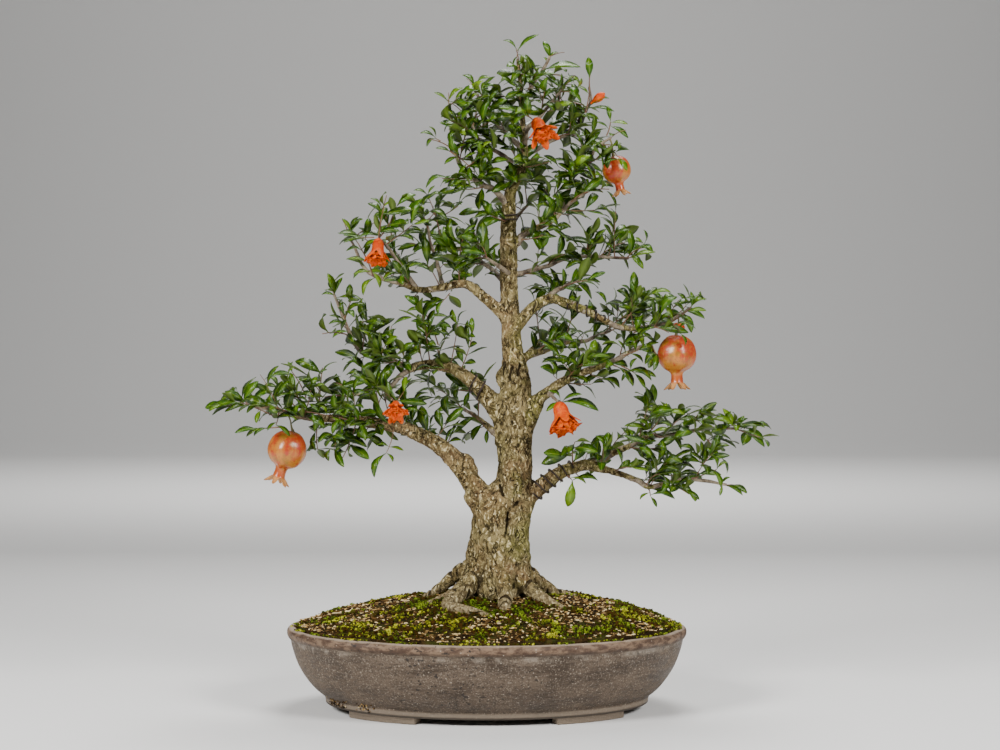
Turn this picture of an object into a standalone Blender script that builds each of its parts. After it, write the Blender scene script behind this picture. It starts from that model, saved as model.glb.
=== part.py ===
"""Dwarf pomegranate bonsai in an oval stoneware pot.

Units are metres, +Z is up, and the origin is under the middle of the pot, on the surface that
its four feet stand on. The front of the tree looks along -Y.
"""

import math
import random

import bmesh
import bpy
import numpy as np
from mathutils import Matrix, Vector, noise

# Pot: an oval bowl with a rolled lip, a low foot band and four feet
POT_HALF_LENGTH = 0.200
POT_HALF_DEPTH = 0.151
POT_STEPS = 36
FLOOR_RADIUS = 0.146
FLOOR_UNDER = 0.0095
FLOOR_TOP = 0.0175
BAND_BOTTOM = 0.0065
LIP_TOP = 0.0835
FOOT_WIDTH = 0.013
FOOT_OUTER_RADIUS = 0.1605
FOOT_START_DEG, FOOT_SWEEP_DEG = 30.0, 34.0
FOOT_STEPS = 4
FOOT_BITE = 0.001
DRAIN_RADIUS = 0.011
DRAIN_OFFSET = 0.085
DRAIN_SIDES = 14
DRILL_LENGTH = 0.03
SCREEN_SIDE = 0.034
SCREEN_THICKNESS = 0.0012
SCREEN_SLOTS = 5
SLOT_WIDTH_SHARE, SLOT_LENGTH_SHARE = 0.5, 0.72
GAP = 0.0003

# Soil: a mound that peaks under the trunk
SOIL_EDGE = 0.0800
SOIL_RISE = 0.033
SOIL_PEAK_X = 0.020
SOIL_POWER = 1.6
SOIL_TOP_RADII = (0.168, 0.122, 0.072)
SOIL_BUMP = 0.0016
SOIL_BUMP_SCALE = 55.0
LIP_INSET = 0.013

# Wood: the clearance that all else keeps from it, and how fast roots and limbs thin out
WOOD_GAP = 0.0004
TAPER_POWER = 0.8

# Leaves
LEAF_LENGTH = 0.025
LEAF_WIDTH_SHARE = 0.32
LEAF_KEEL = 0.0008
LEAF_WIDEST = 0.42
LEAF_RISE, LEAF_FALL = 0.30, 0.44
LEAF_FOLD = 0.12
LEAVES_PER_SPRAY = 11
LEAF_CLEARANCE = 0.0006
LEAF_BALL_LEAST = 0.0008
NODE_LENGTH = 0.0016
STEM_RADIUS = 0.0009
TWIG_RADIUS = 0.0007
TWIG_LEAST = 0.015
FOOT_SHARE = 0.08
NODE_SPACING = 0.016
LAST_NODE = 0.95
NODE_REACH = 0.90
TWIG_SHARES = (0.36, 0.55)
TWIG_LEANS = (0.75, 1.05)
TWIG_RISE = 0.2
STEM_ARCH = 0.06

# Trunk: x, y, z, radius, from the buried stub up to the leader
TRUNK = [
    (0.012, 0.000, 0.072, 0.024),
    (0.011, 0.000, 0.104, 0.031),
    (0.010, 0.000, 0.128, 0.033),
    (0.011, -0.001, 0.149, 0.0325),
    (0.012, -0.001, 0.172, 0.029),
    (0.0145, -0.001, 0.194, 0.0275),
    (0.021, -0.001, 0.217, 0.0235),
    (0.0268, 0.000, 0.2375, 0.0187),
    (0.028, 0.000, 0.268, 0.0176),
    (0.0286, 0.000, 0.308, 0.0165),
    (0.0286, 0.000, 0.333, 0.0145),
    (0.026, 0.001, 0.354, 0.0112),
    (0.024, 0.001, 0.382, 0.0097),
    (0.0226, 0.001, 0.410, 0.0094),
    (0.0216, 0.001, 0.4526, 0.0092),
    (0.0215, 0.001, 0.487, 0.0079),
    (0.023, 0.001, 0.514, 0.0062),
    (0.030, 0.001, 0.532, 0.0054),
    (0.037, 0.000, 0.548, 0.0047),
    (0.036, 0.000, 0.585, 0.0034),
    (0.034, 0.000, 0.621, 0.0025),
    (0.030, 0.000, 0.651, 0.0014),
]

# Surface roots: plan x, y and height above the soil, then the radius at the start and the tip
ROOTS = {
    "left": ([(0.000, 0.004, 0.030), (-0.025, 0.005, 0.023), (-0.045, 0.006, 0.009),
              (-0.064, 0.005, -0.001)], 0.0115, 0.0020),
    "front_left": ([(0.000, -0.012, 0.022), (-0.017, -0.024, 0.015), (-0.033, -0.037, 0.004),
                    (-0.037, -0.050, 0.001), (-0.022, -0.064, 0.001), (-0.006, -0.074, 0.000),
                    (0.007, -0.083, -0.001)], 0.0120, 0.0022),
    "front": ([(0.015, -0.010, 0.030), (0.018, -0.027, 0.017), (0.018, -0.038, 0.005),
               (0.017, -0.049, -0.004)], 0.0115, 0.0055),
    "front_right": ([(0.026, -0.010, 0.024), (0.040, -0.024, 0.012), (0.054, -0.033, 0.004),
                     (0.066, -0.040, 0.000), (0.079, -0.046, -0.002)], 0.0110, 0.0020),
    "right": ([(0.034, 0.002, 0.026), (0.048, 0.005, 0.014), (0.062, 0.008, 0.006),
               (0.077, 0.011, 0.001), (0.091, 0.012, -0.001)], 0.0100, 0.0020),
    "back_right": ([(0.024, 0.014, 0.024), (0.037, 0.031, 0.009), (0.047, 0.046, 0.001),
                    (0.055, 0.062, -0.002)], 0.0110, 0.0020),
    "back_left": ([(0.004, 0.014, 0.024), (-0.009, 0.032, 0.009), (-0.017, 0.048, 0.001),
                   (-0.023, 0.064, -0.002)], 0.0110, 0.0020),
    "small_left": ([(-0.006, -0.004, 0.018), (-0.028, -0.011, 0.007), (-0.045, -0.017, 0.001),
                    (-0.060, -0.027, -0.001)], 0.0085, 0.0015),
}

# Old pruning scars and burrs on the trunk: centre and radius
BURRS = [
    ((-0.019, -0.006, 0.166), 0.0075),
    ((0.041, -0.006, 0.160), 0.0075),
    ((0.020, -0.017, 0.236), 0.0085),
    ((0.020, -0.012, 0.300), 0.0070),
    ((0.040, 0.010, 0.300), 0.0070),
]

# Limbs: the points that each runs through, and its radius at the base and the tip
LIMBS = {
    "left_low": ([(0.008, -0.004, 0.190), (-0.003, -0.006, 0.210), (-0.016, -0.009, 0.2265),
                  (-0.030, -0.011, 0.246), (-0.047, -0.012, 0.262), (-0.067, -0.014, 0.273),
                  (-0.085, -0.015, 0.281), (-0.103, -0.016, 0.284), (-0.143, -0.020, 0.289),
                  (-0.178, -0.022, 0.291), (-0.208, -0.020, 0.297), (-0.238, -0.018, 0.304)],
                 0.0135, 0.0013),
    "left_low_spur": ([(-0.083, -0.014, 0.280), (-0.085, -0.029, 0.293), (-0.0895, -0.038, 0.306)],
                      0.0026, 0.0013),
    "left_mid": ([(0.022, 0.003, 0.293), (0.005, 0.005, 0.309), (-0.012, 0.007, 0.323),
                  (-0.030, 0.009, 0.337), (-0.053, 0.011, 0.3435), (-0.069, 0.012, 0.342),
                  (-0.081, 0.012, 0.338)], 0.0100, 0.0043),
    "left_mid_fall": ([(-0.078, 0.012, 0.339), (-0.088, 0.009, 0.331), (-0.096, 0.004, 0.323),
                       (-0.111, 0.000, 0.319), (-0.138, -0.004, 0.311)], 0.0038, 0.0012),
    "left_mid_rise": ([(-0.074, 0.012, 0.341), (-0.106, 0.014, 0.3486), (-0.127, 0.012, 0.356),
                       (-0.138, 0.010, 0.373), (-0.145, 0.008, 0.390), (-0.154, 0.006, 0.414)],
                      0.0036, 0.0012),
    "left_high": ([(0.020, -0.001, 0.388), (0.012, -0.002, 0.398), (-0.004, -0.003, 0.412),
                   (-0.017, -0.004, 0.4225), (-0.027, -0.005, 0.4245), (-0.046, -0.006, 0.4205),
                   (-0.066, -0.007, 0.418), (-0.084, -0.008, 0.424), (-0.109, -0.010, 0.431),
                   (-0.122, -0.011, 0.440), (-0.136, -0.010, 0.468)], 0.0066, 0.0012),
    "left_high_spur": ([(-0.070, -0.007, 0.419), (-0.085, -0.017, 0.440), (-0.097, -0.025, 0.458),
                        (-0.107, -0.028, 0.468)], 0.0026, 0.0013),
    "left_high_rise": ([(-0.045, -0.005, 0.421), (-0.050, 0.010, 0.445), (-0.058, 0.017, 0.470),
                        (-0.061, 0.018, 0.488)], 0.0026, 0.0012),
    "left_top": ([(0.022, -0.001, 0.504), (0.006, -0.004, 0.519), (-0.001, -0.006, 0.522),
                  (-0.011, -0.008, 0.528), (-0.021, -0.010, 0.535), (-0.029, -0.011, 0.548),
                  (-0.035, -0.012, 0.570), (-0.038, -0.012, 0.602)], 0.0042, 0.0012),
    "right_low": ([(0.030, -0.001, 0.200), (0.046, -0.002, 0.2145), (0.063, -0.003, 0.228),
                   (0.0765, -0.003, 0.2365), (0.0995, -0.003, 0.2435)], 0.0105, 0.0056),
    "right_low_back": ([(0.096, -0.003, 0.2425), (0.117, 0.001, 0.249), (0.128, 0.003, 0.2547),
                        (0.147, 0.006, 0.263), (0.160, 0.008, 0.2697), (0.183, 0.010, 0.273),
                        (0.200, 0.010, 0.2747), (0.226, 0.008, 0.2795), (0.250, 0.006, 0.279)],
                       0.0045, 0.0013),
    "right_low_front": ([(0.096, -0.004, 0.242), (0.120, -0.009, 0.238), (0.137, -0.013, 0.233),
                         (0.150, -0.016, 0.228), (0.160, -0.018, 0.2215), (0.177, -0.020, 0.225),
                         (0.193, -0.021, 0.2295), (0.218, -0.023, 0.228), (0.238, -0.024, 0.224)],
                        0.0045, 0.0013),
    "right_mid": ([(0.036, -0.004, 0.296), (0.046, -0.006, 0.305), (0.060, -0.008, 0.315),
                   (0.075, -0.010, 0.326), (0.092, -0.012, 0.334), (0.112, -0.014, 0.341),
                   (0.126, -0.015, 0.347), (0.148, -0.016, 0.359), (0.164, -0.016, 0.364)],
                  0.0075, 0.0014),
    "right_mid_spur": ([(0.060, -0.008, 0.315), (0.066, -0.024, 0.311), (0.071, -0.033, 0.306)],
                       0.0026, 0.0013),
    "right_mid_back": ([(0.026, 0.003, 0.344), (0.042, 0.010, 0.353), (0.055, 0.015, 0.357),
                        (0.069, 0.020, 0.362), (0.0835, 0.025, 0.3665), (0.1005, 0.030, 0.368),
                        (0.126, 0.034, 0.378)], 0.0055, 0.0012),
    "right_high": ([(0.024, -0.002, 0.376), (0.034, -0.005, 0.387), (0.045, -0.008, 0.3995),
                    (0.058, -0.010, 0.408), (0.069, -0.011, 0.4085), (0.0835, -0.012, 0.4035),
                    (0.1005, -0.013, 0.3965), (0.118, -0.013, 0.387), (0.136, -0.013, 0.380),
                    (0.157, -0.012, 0.380), (0.182, -0.012, 0.3865), (0.203, -0.012, 0.400)],
                   0.0070, 0.0013),
    "right_high_rise": ([(0.056, -0.009, 0.407), (0.065, -0.004, 0.4145), (0.076, 0.004, 0.421),
                         (0.089, 0.010, 0.428), (0.0975, 0.014, 0.437), (0.106, 0.017, 0.446)],
                        0.0036, 0.0012),
    "right_upper": ([(0.022, -0.002, 0.458), (0.030, -0.004, 0.466), (0.037, -0.006, 0.474),
                     (0.052, -0.009, 0.481), (0.066, -0.011, 0.487), (0.0735, -0.012, 0.495),
                     (0.0835, -0.013, 0.505), (0.0985, -0.015, 0.514)], 0.0050, 0.0012),
    "right_upper_rise": ([(0.072, -0.012, 0.493), (0.080, -0.004, 0.514), (0.0875, 0.000, 0.533),
                          (0.1015, 0.002, 0.546), (0.1085, 0.000, 0.560), (0.1245, -0.006, 0.571)],
                         0.0026, 0.0012),
    "right_upper_back": ([(0.021, 0.003, 0.432), (0.043, 0.012, 0.438), (0.066, 0.018, 0.445),
                          (0.0835, 0.020, 0.4525), (0.1045, 0.020, 0.4535), (0.1225, 0.018, 0.4525),
                          (0.143, 0.016, 0.451)], 0.0036, 0.0012),
    "crown_left": ([(0.032, 0.001, 0.538), (0.017, -0.004, 0.552), (-0.005, -0.008, 0.566),
                    (-0.016, -0.009, 0.584)], 0.0030, 0.0012),
    "crown_back_left": ([(0.037, 0.002, 0.560), (0.018, 0.010, 0.578), (0.003, 0.015, 0.596),
                         (-0.013, 0.016, 0.622)], 0.0028, 0.0012),
    "crown_tip": ([(0.035, 0.000, 0.604), (0.045, -0.006, 0.622), (0.056, -0.010, 0.638),
                   (0.063, -0.012, 0.651)], 0.0022, 0.0012),
    "crown_right": ([(0.036, 0.002, 0.552), (0.063, 0.010, 0.569), (0.089, 0.013, 0.581),
                     (0.095, 0.012, 0.596), (0.104, 0.010, 0.608), (0.103, 0.009, 0.624)],
                    0.0030, 0.0012),
    "crown_middle": ([(0.036, 0.000, 0.578), (0.053, -0.008, 0.592), (0.066, -0.012, 0.607),
                      (0.077, -0.014, 0.620)], 0.0024, 0.0012),
    "crown_spur": ([(0.038, -0.002, 0.563), (0.041, -0.017, 0.576), (0.048, -0.029, 0.586)],
                   0.0024, 0.0013),
    "back_low": ([(0.024, 0.010, 0.262), (0.006, 0.034, 0.276), (-0.012, 0.060, 0.290),
                  (-0.026, 0.086, 0.297)], 0.0058, 0.0013),
    "back_mid": ([(0.028, 0.008, 0.338), (0.044, 0.034, 0.356), (0.058, 0.066, 0.371),
                  (0.066, 0.094, 0.381)], 0.0055, 0.0013),
    "back_high": ([(0.021, 0.005, 0.424), (0.004, 0.032, 0.441), (-0.012, 0.060, 0.455),
                   (-0.022, 0.078, 0.462)], 0.0042, 0.0012),
    "back_top": ([(0.021, 0.004, 0.478), (0.032, 0.028, 0.496), (0.044, 0.052, 0.510)],
                 0.0032, 0.0012),
    "front_mid": ([(0.022, -0.005, 0.434), (0.010, -0.026, 0.442), (0.000, -0.046, 0.448)],
                  0.0032, 0.0012),
}
THICK_LIMBS = {"left_low": 8, "right_low": 8}
TRUNK_SIDES, ROOT_SIDES = 10, 6
LIMB_SIDES, THIN_LIMB_SIDES = 6, 4
THIN_LIMB_RADIUS = 0.0040

# Leafy stems: the limb that each grows from, how far along it, and the way to the stem's tip
SPRAYS = [
    ("left_low", 1.00, (-0.020, -0.004, -0.002)),
    ("left_low", 0.90, (-0.018, 0.020, 0.036)),
    ("left_low", 0.83, (-0.028, -0.044, 0.008)),
    ("left_low", 0.75, (0.002, 0.020, 0.050)),
    ("left_low", 0.67, (-0.016, 0.054, 0.008)),
    ("left_low", 0.59, (-0.014, -0.048, 0.016)),
    ("left_low", 0.50, (-0.014, 0.030, 0.042)),
    ("left_mid", 0.54, (0.014, -0.034, 0.042)),
    ("left_mid", 0.80, (-0.008, -0.022, 0.056)),
    ("left_mid_fall", 1.00, (-0.024, -0.010, 0.000)),
    ("left_mid_rise", 1.00, (-0.006, -0.004, 0.014)),
    ("left_mid_rise", 0.45, (0.006, 0.044, 0.034)),
    ("left_mid_rise", 0.62, (-0.026, -0.034, 0.002)),
    ("left_high", 1.00, (-0.008, -0.006, 0.020)),
    ("left_high", 0.62, (-0.010, 0.044, 0.036)),
    ("left_high", 0.32, (0.004, -0.038, 0.042)),
    ("left_high_rise", 1.00, (0.012, 0.016, 0.016)),
    ("left_top", 1.00, (0.000, -0.006, 0.012)),
    ("left_top", 0.62, (-0.026, -0.026, 0.010)),
    ("crown_left", 1.00, (-0.018, -0.016, 0.018)),
    ("crown_back_left", 1.00, (-0.008, 0.016, 0.014)),
    ("trunk", 1.00, (0.002, 0.002, 0.009)),
    ("crown_tip", 1.00, (0.014, -0.012, 0.002)),
    ("crown_right", 1.00, (0.002, 0.010, 0.014)),
    ("crown_middle", 1.00, (0.010, -0.024, 0.008)),
    ("right_upper_rise", 1.00, (0.014, -0.010, 0.006)),
    ("right_upper", 1.00, (0.022, -0.022, 0.002)),
    ("right_upper_back", 1.00, (0.014, 0.014, 0.006)),
    ("right_high_rise", 1.00, (0.014, 0.018, 0.010)),
    ("right_high", 1.00, (0.008, -0.006, 0.012)),
    ("right_high", 0.70, (0.002, 0.040, 0.024)),
    ("right_mid_back", 1.00, (0.022, 0.018, 0.006)),
    ("right_mid", 1.00, (0.002, -0.034, -0.012)),
    ("right_low", 0.84, (0.000, -0.044, 0.028)),
    ("right_low_back", 1.00, (0.014, -0.002, 0.002)),
    ("right_low_back", 0.45, (0.014, 0.044, 0.024)),
    ("right_low_front", 1.00, (0.016, -0.008, -0.002)),
    ("right_low_front", 0.45, (0.010, -0.044, 0.014)),
    ("back_low", 1.00, (-0.012, 0.022, 0.008)),
    ("back_mid", 1.00, (0.010, 0.022, 0.010)),
    ("back_high", 1.00, (-0.010, 0.020, 0.012)),
    ("front_mid", 1.00, (-0.008, -0.016, 0.014)),
]

# Fruits: centre, radius, how far the crown leans in x, and the limb point that the stalk hangs from
FRUITS = {
    "fruit_left": ((-0.201, -0.024, 0.2590), 0.0192, -0.33, "left_low", 0.86),
    "fruit_right": ((0.189, -0.014, 0.3540), 0.0193, 0.02, "right_high", 0.93),
    "fruit_top": ((0.1295, -0.006, 0.5385), 0.0142, 0.20, "right_upper_rise", 0.98),
}

# Flowers: the limb at whose tip each hangs, the way that it faces, and its length
FLOWERS = {
    "flower_top": ("crown_spur", (0.30, -0.42, -0.85), 0.031),
    "flower_high_left": ("left_high_spur", (-0.04, -0.30, -0.95), 0.029),
    "flower_low_left": ("left_low_spur", (0.04, -0.42, -0.90), 0.027),
    "flower_right": ("right_mid_spur", (0.24, -0.22, -0.95), 0.036),
}
FLOWER_RADIUS = 0.0056
SEPALS = 6

# Buds: base point, direction, length and the limb that each sits on
BUDS = {
    "bud_top": ((0.1045, 0.008, 0.6065), (0.80, -0.10, 0.60), 0.018),
    "bud_right": ((0.1835, -0.015, 0.3840), (0.90, -0.30, -0.28), 0.015),
}

# Training wire: limb, start and end share of its length, turns, and wire radius
WIRES = {
    "wire_right_low": ("right_low", 0.30, 0.70, 4.0, 0.0010),
    "wire_left_mid": ("left_mid", 0.26, 0.44, 2.0, 0.0010),
    "wire_right_high": ("right_high", 0.35, 0.55, 4.0, 0.0008),
    "wire_trunk_top": ("trunk", 0.715, 0.730, 2.0, 0.0008),
}
WIRE_POINTS_PER_TURN = 8
WIRE_SWELL = 1.05
WIRE_STANDOFF = 1.3
WIRE_GAP = 0.0003

COLOURS = {
    "clay": ((0.23, 0.17, 0.14), 0.75, 0.0),
    "plastic": ((0.02, 0.02, 0.02), 0.60, 0.0),
    "soil": ((0.12, 0.13, 0.035), 0.95, 0.0),
    "bark": ((0.26, 0.20, 0.12), 0.85, 0.0),
    "leaf": ((0.065, 0.19, 0.02), 0.35, 0.0),
    "fruit_skin": ((0.62, 0.20, 0.08), 0.35, 0.0),
    "petal": ((0.85, 0.12, 0.03), 0.50, 0.0),
    "wire": ((0.04, 0.025, 0.02), 0.45, 0.8),
}

UP = Vector((0, 0, 1))
SQUARE = ((1, 1), (-1, 1), (-1, -1), (1, -1))


# Scene and object helpers

def clear_scene():
    for old in list(bpy.data.objects):
        bpy.data.objects.remove(old)


def new_collection(name):
    made = bpy.data.collections.new(name)
    bpy.context.scene.collection.children.link(made)
    return made


def material(name):
    found = bpy.data.materials.get(name)
    if found:
        return found
    colour, roughness, metallic = COLOURS[name]
    made = bpy.data.materials.new(name)
    made.use_nodes = True
    shader = made.node_tree.nodes["Principled BSDF"]
    shader.inputs["Base Color"].default_value = (*colour, 1.0)
    shader.inputs["Roughness"].default_value = roughness
    shader.inputs["Metallic"].default_value = metallic
    return made


def object_from_bmesh(name, bm, collection, slot, smooth=True):
    bmesh.ops.recalc_face_normals(bm, faces=bm.faces)
    if bm.calc_volume(signed=True) < 0:
        bmesh.ops.reverse_faces(bm, faces=bm.faces)
    bmesh.ops.triangulate(bm, faces=[face for face in bm.faces if len(face.verts) == 4])
    mesh = bpy.data.meshes.new(name)
    bm.to_mesh(mesh)
    bm.free()
    if smooth:
        mesh.shade_smooth()
    mesh.materials.append(material(slot))
    made = bpy.data.objects.new(name, mesh)
    collection.objects.link(made)
    return made


def evaluated_mesh(obj):
    bpy.context.view_layer.update()
    graph = bpy.context.evaluated_depsgraph_get()
    return bpy.data.meshes.new_from_object(obj.evaluated_get(graph))


def apply_modifiers(obj):
    """Bakes the object's modifiers into its mesh."""
    baked = evaluated_mesh(obj)
    obj.modifiers.clear()
    obj.data = baked
    return obj


def boolean(obj, operation, others, solver="EXACT"):
    """Cuts obj by, or joins it with, the other objects, which are then removed."""
    group = bpy.data.collections.new("operands")
    bpy.context.scene.collection.children.link(group)
    for other in others:
        for home in list(other.users_collection):
            home.objects.unlink(other)
        group.objects.link(other)
    cut = obj.modifiers.new(operation.lower(), "BOOLEAN")
    cut.operation = operation
    cut.solver = solver
    cut.operand_type = "COLLECTION"
    cut.collection = group
    apply_modifiers(obj)
    for other in others:
        bpy.data.objects.remove(other)
    bpy.data.collections.remove(group)
    return obj


def copy_of(obj, collection):
    made = bpy.data.objects.new(obj.name + "_copy", obj.data.copy())
    collection.objects.link(made)
    return made


def keep_largest_shell(obj):
    """Drops every loose scrap that a cut left, and keeps the biggest body."""
    bm = bmesh.new()
    bm.from_mesh(obj.data)
    unseen, shells = set(bm.verts), []
    while unseen:
        stack, shell = [unseen.pop()], []
        while stack:
            vert = stack.pop()
            shell.append(vert)
            near = {edge.other_vert(vert) for edge in vert.link_edges} & unseen
            unseen -= near
            stack.extend(near)
        shells.append(shell)
    shells.sort(key=len)
    scraps = [vert for shell in shells[:-1] for vert in shell]
    bmesh.ops.delete(bm, geom=scraps, context="VERTS")
    bm.to_mesh(obj.data)
    bm.free()
    return obj


def tube(name, route, sides, collection, slot="bark"):
    """A round tube along (x, y, z, radius) points, as a mesh with its caps welded."""
    curve = bpy.data.curves.new(name, "CURVE")
    curve.dimensions = "3D"
    curve.bevel_depth = 1.0
    curve.bevel_resolution = (sides - 4) // 2
    curve.use_fill_caps = True
    spline = curve.splines.new("POLY")
    spline.points.add(len(route) - 1)
    for point, (x, y, z, radius) in zip(spline.points, route):
        point.co = (x, y, z, 1)
        point.radius = radius
    guide = bpy.data.objects.new(name + "_line", curve)
    collection.objects.link(guide)
    mesh = evaluated_mesh(guide)
    bpy.data.objects.remove(guide)
    bm = bmesh.new()
    bm.from_mesh(mesh)
    bmesh.ops.remove_doubles(bm, verts=bm.verts, dist=1e-6)
    return object_from_bmesh(name, bm, collection, slot)


# Pot, screens and soil

def oval_y(radius):
    """How far a ring of this radius reaches in y, so that walls keep their thickness all round."""
    inset = POT_HALF_LENGTH - POT_HALF_DEPTH
    if radius >= FLOOR_RADIUS:
        return radius - inset
    return radius * (FLOOR_RADIUS - inset) / FLOOR_RADIUS


def spin_oval(profile, steps, start_deg=0.0, sweep_deg=360.0, closed_loop=False):
    """A profile of (radius, z) points turned round Z, then squeezed to the pot's oval."""
    bm = bmesh.new()
    verts = [bm.verts.new((radius, 0, z)) for radius, z in profile]
    edges = [bm.edges.new(pair) for pair in zip(verts, verts[1:])]
    if closed_loop:
        edges.append(bm.edges.new((verts[-1], verts[0])))
    full = sweep_deg >= 360.0
    bmesh.ops.rotate(bm, verts=verts, cent=(0, 0, 0),
                     matrix=Matrix.Rotation(math.radians(start_deg), 3, "Z"))
    bmesh.ops.spin(bm, geom=verts + edges, cent=(0, 0, 0), axis=(0, 0, 1),
                   angle=math.radians(sweep_deg), steps=steps, use_merge=full)
    bmesh.ops.remove_doubles(bm, verts=bm.verts, dist=1e-6)
    if not full:
        rim = [edge for edge in bm.edges if edge.is_boundary]
        bmesh.ops.holes_fill(bm, edges=rim, sides=len(profile))
    for vert in bm.verts:
        radius = math.hypot(vert.co.x, vert.co.y)
        if radius > 1e-6:
            vert.co.y *= oval_y(radius) / radius
    return bm


def pot_profile():
    """Closed section of the bowl from its lip down the outside, under the floor and up inside."""
    return [
        (0.0, FLOOR_TOP),
        (0.1500, FLOOR_TOP),
        (0.1720, 0.0300),
        (0.1835, 0.0530),
        (0.1870, 0.0760),
        (0.1890, LIP_TOP),
        (0.1955, LIP_TOP),
        (0.2000, 0.0780),
        (0.1995, 0.0715),
        (0.1956, 0.0680),
        (0.1938, 0.0550),
        (0.1872, 0.0370),
        (0.1760, 0.0210),
        (0.1622, 0.0124),
        (0.1615, BAND_BOTTOM),
        (0.1480, BAND_BOTTOM),
        (0.1462, FLOOR_UNDER),
        (0.0, FLOOR_UNDER),
    ]


def build_pot(collection):
    bowl = object_from_bmesh("pot", spin_oval(pot_profile(), POT_STEPS), collection, "clay")
    inner = FOOT_OUTER_RADIUS - FOOT_WIDTH
    foot = [(inner, 0.0), (FOOT_OUTER_RADIUS - FOOT_BITE, 0.0),
            (FOOT_OUTER_RADIUS, BAND_BOTTOM + FOOT_BITE), (inner, BAND_BOTTOM + FOOT_BITE)]
    feet = []
    for quarter, start in enumerate((FOOT_START_DEG, 180 - FOOT_START_DEG - FOOT_SWEEP_DEG,
                                     180 + FOOT_START_DEG, 360 - FOOT_START_DEG - FOOT_SWEEP_DEG)):
        bm = spin_oval(foot, FOOT_STEPS, start, FOOT_SWEEP_DEG, closed_loop=True)
        feet.append(object_from_bmesh(f"foot_{quarter}", bm, collection, "clay"))
    boolean(bowl, "UNION", feet)
    drains = [cylinder(f"drain_{side}", DRAIN_RADIUS, DRILL_LENGTH,
                       (side * DRAIN_OFFSET, 0, FLOOR_TOP), DRAIN_SIDES, collection)
              for side in (-1, 1)]
    return boolean(bowl, "DIFFERENCE", drains)


def cylinder(name, radius, height, centre, sides, collection):
    bm = bmesh.new()
    bmesh.ops.create_cone(bm, cap_ends=True, segments=sides, radius1=radius, radius2=radius,
                          depth=height, matrix=Matrix.Translation(centre))
    return object_from_bmesh(name, bm, collection, "clay")


def box(name, size, centre, collection, slot="plastic"):
    bm = bmesh.new()
    bmesh.ops.create_cube(bm, size=1.0,
                          matrix=Matrix.Translation(centre) @ Matrix.Diagonal((*size, 1)))
    return object_from_bmesh(name, bm, collection, slot, smooth=False)


def build_screen(name, x, collection):
    """A slotted plastic screen that lies over one drain hole and keeps the soil in."""
    centre_z = FLOOR_TOP + GAP + SCREEN_THICKNESS / 2
    plate = box(name, (SCREEN_SIDE, SCREEN_SIDE, SCREEN_THICKNESS), (x, 0, centre_z), collection)
    pitch = SCREEN_SIDE / (SCREEN_SLOTS + 1)
    slots = [box(f"slot_{k}", (pitch * SLOT_WIDTH_SHARE, SCREEN_SIDE * SLOT_LENGTH_SHARE,
                              SCREEN_THICKNESS * 3),
                 (x + (k - (SCREEN_SLOTS - 1) / 2) * pitch, 0, centre_z), collection)
             for k in range(SCREEN_SLOTS)]
    return boolean(plate, "DIFFERENCE", slots)


def soil_height(x, y):
    """Height of the mound's surface, which is highest by the trunk and falls to the pot's lip."""
    reach = POT_HALF_LENGTH - LIP_INSET
    dx = x - SOIL_PEAK_X
    across = dx / (reach - SOIL_PEAK_X if dx > 0 else reach + SOIL_PEAK_X)
    ahead = y / (POT_HALF_DEPTH - LIP_INSET)
    share = min(1.0, math.hypot(across, ahead))
    return SOIL_EDGE + SOIL_RISE * (1 - share**SOIL_POWER)


def build_soil(collection, wood_cutter):
    """The soil fills the bowl, and its top is shaped by the mound's formula."""
    top_flag = 1.0
    inside = [(0.0, FLOOR_TOP + GAP), (0.1496, FLOOR_TOP + GAP), (0.1715, 0.0304),
              (0.1830, 0.0533), (0.1864, SOIL_EDGE - 0.003)]
    top = [(radius, top_flag) for radius in SOIL_TOP_RADII] + [(0.0, top_flag)]
    bm = spin_oval(inside + top, POT_STEPS)
    for vert in bm.verts:
        if vert.co.z == top_flag:
            bump = noise.noise(vert.co * SOIL_BUMP_SCALE) * SOIL_BUMP
            vert.co.z = soil_height(vert.co.x, vert.co.y) + bump
    soil = object_from_bmesh("soil", bm, collection, "soil")
    side = SCREEN_SIDE + 2 * GAP
    height = SCREEN_THICKNESS + 2 * GAP
    recesses = [box(f"recess_{k}", (side, side, height * 2), (k * DRAIN_OFFSET, 0, FLOOR_TOP + GAP),
                    collection) for k in (-1, 1)]
    boolean(soil, "DIFFERENCE", recesses)
    return keep_largest_shell(boolean(soil, "DIFFERENCE", [wood_cutter]))


# Wood: the trunk, its roots and its limbs grew as one piece

def limb_route(name):
    """(x, y, z, radius) points of a limb or of the trunk."""
    if name == "trunk":
        return np.array(TRUNK)
    points, base, tip = LIMBS[name]
    return with_radii(points, base, tip)


def with_radii(points, base, tip):
    """Adds a radius that tapers evenly along the way from base to tip."""
    spans = [math.dist(a, b) for a, b in zip(points, points[1:])]
    gone = np.concatenate([[0.0], np.cumsum(spans)]) / sum(spans)
    radii = base + (tip - base) * gone**TAPER_POWER
    return np.column_stack([np.array(points), radii])


def point_on(route, share):
    """Position, direction and radius at a share of the route's length."""
    spans = np.linalg.norm(np.diff(route[:, :3], axis=0), axis=1)
    left = share * spans.sum()
    for i, span in enumerate(spans):
        if left <= span or i == len(spans) - 1:
            t = min(1.0, left / span)
            here = route[i] + (route[i + 1] - route[i]) * t
            ahead = Vector(route[i + 1][:3] - route[i][:3]).normalized()
            return Vector(here[:3]), ahead, float(here[3])
        left -= span


def root_route(points, base, tip):
    """A root's points, laid on the soil with the lift that each is given."""
    laid = [(x, y, soil_height(x, y) + lift) for x, y, lift in points]
    return with_radii(laid, base, tip)


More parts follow.
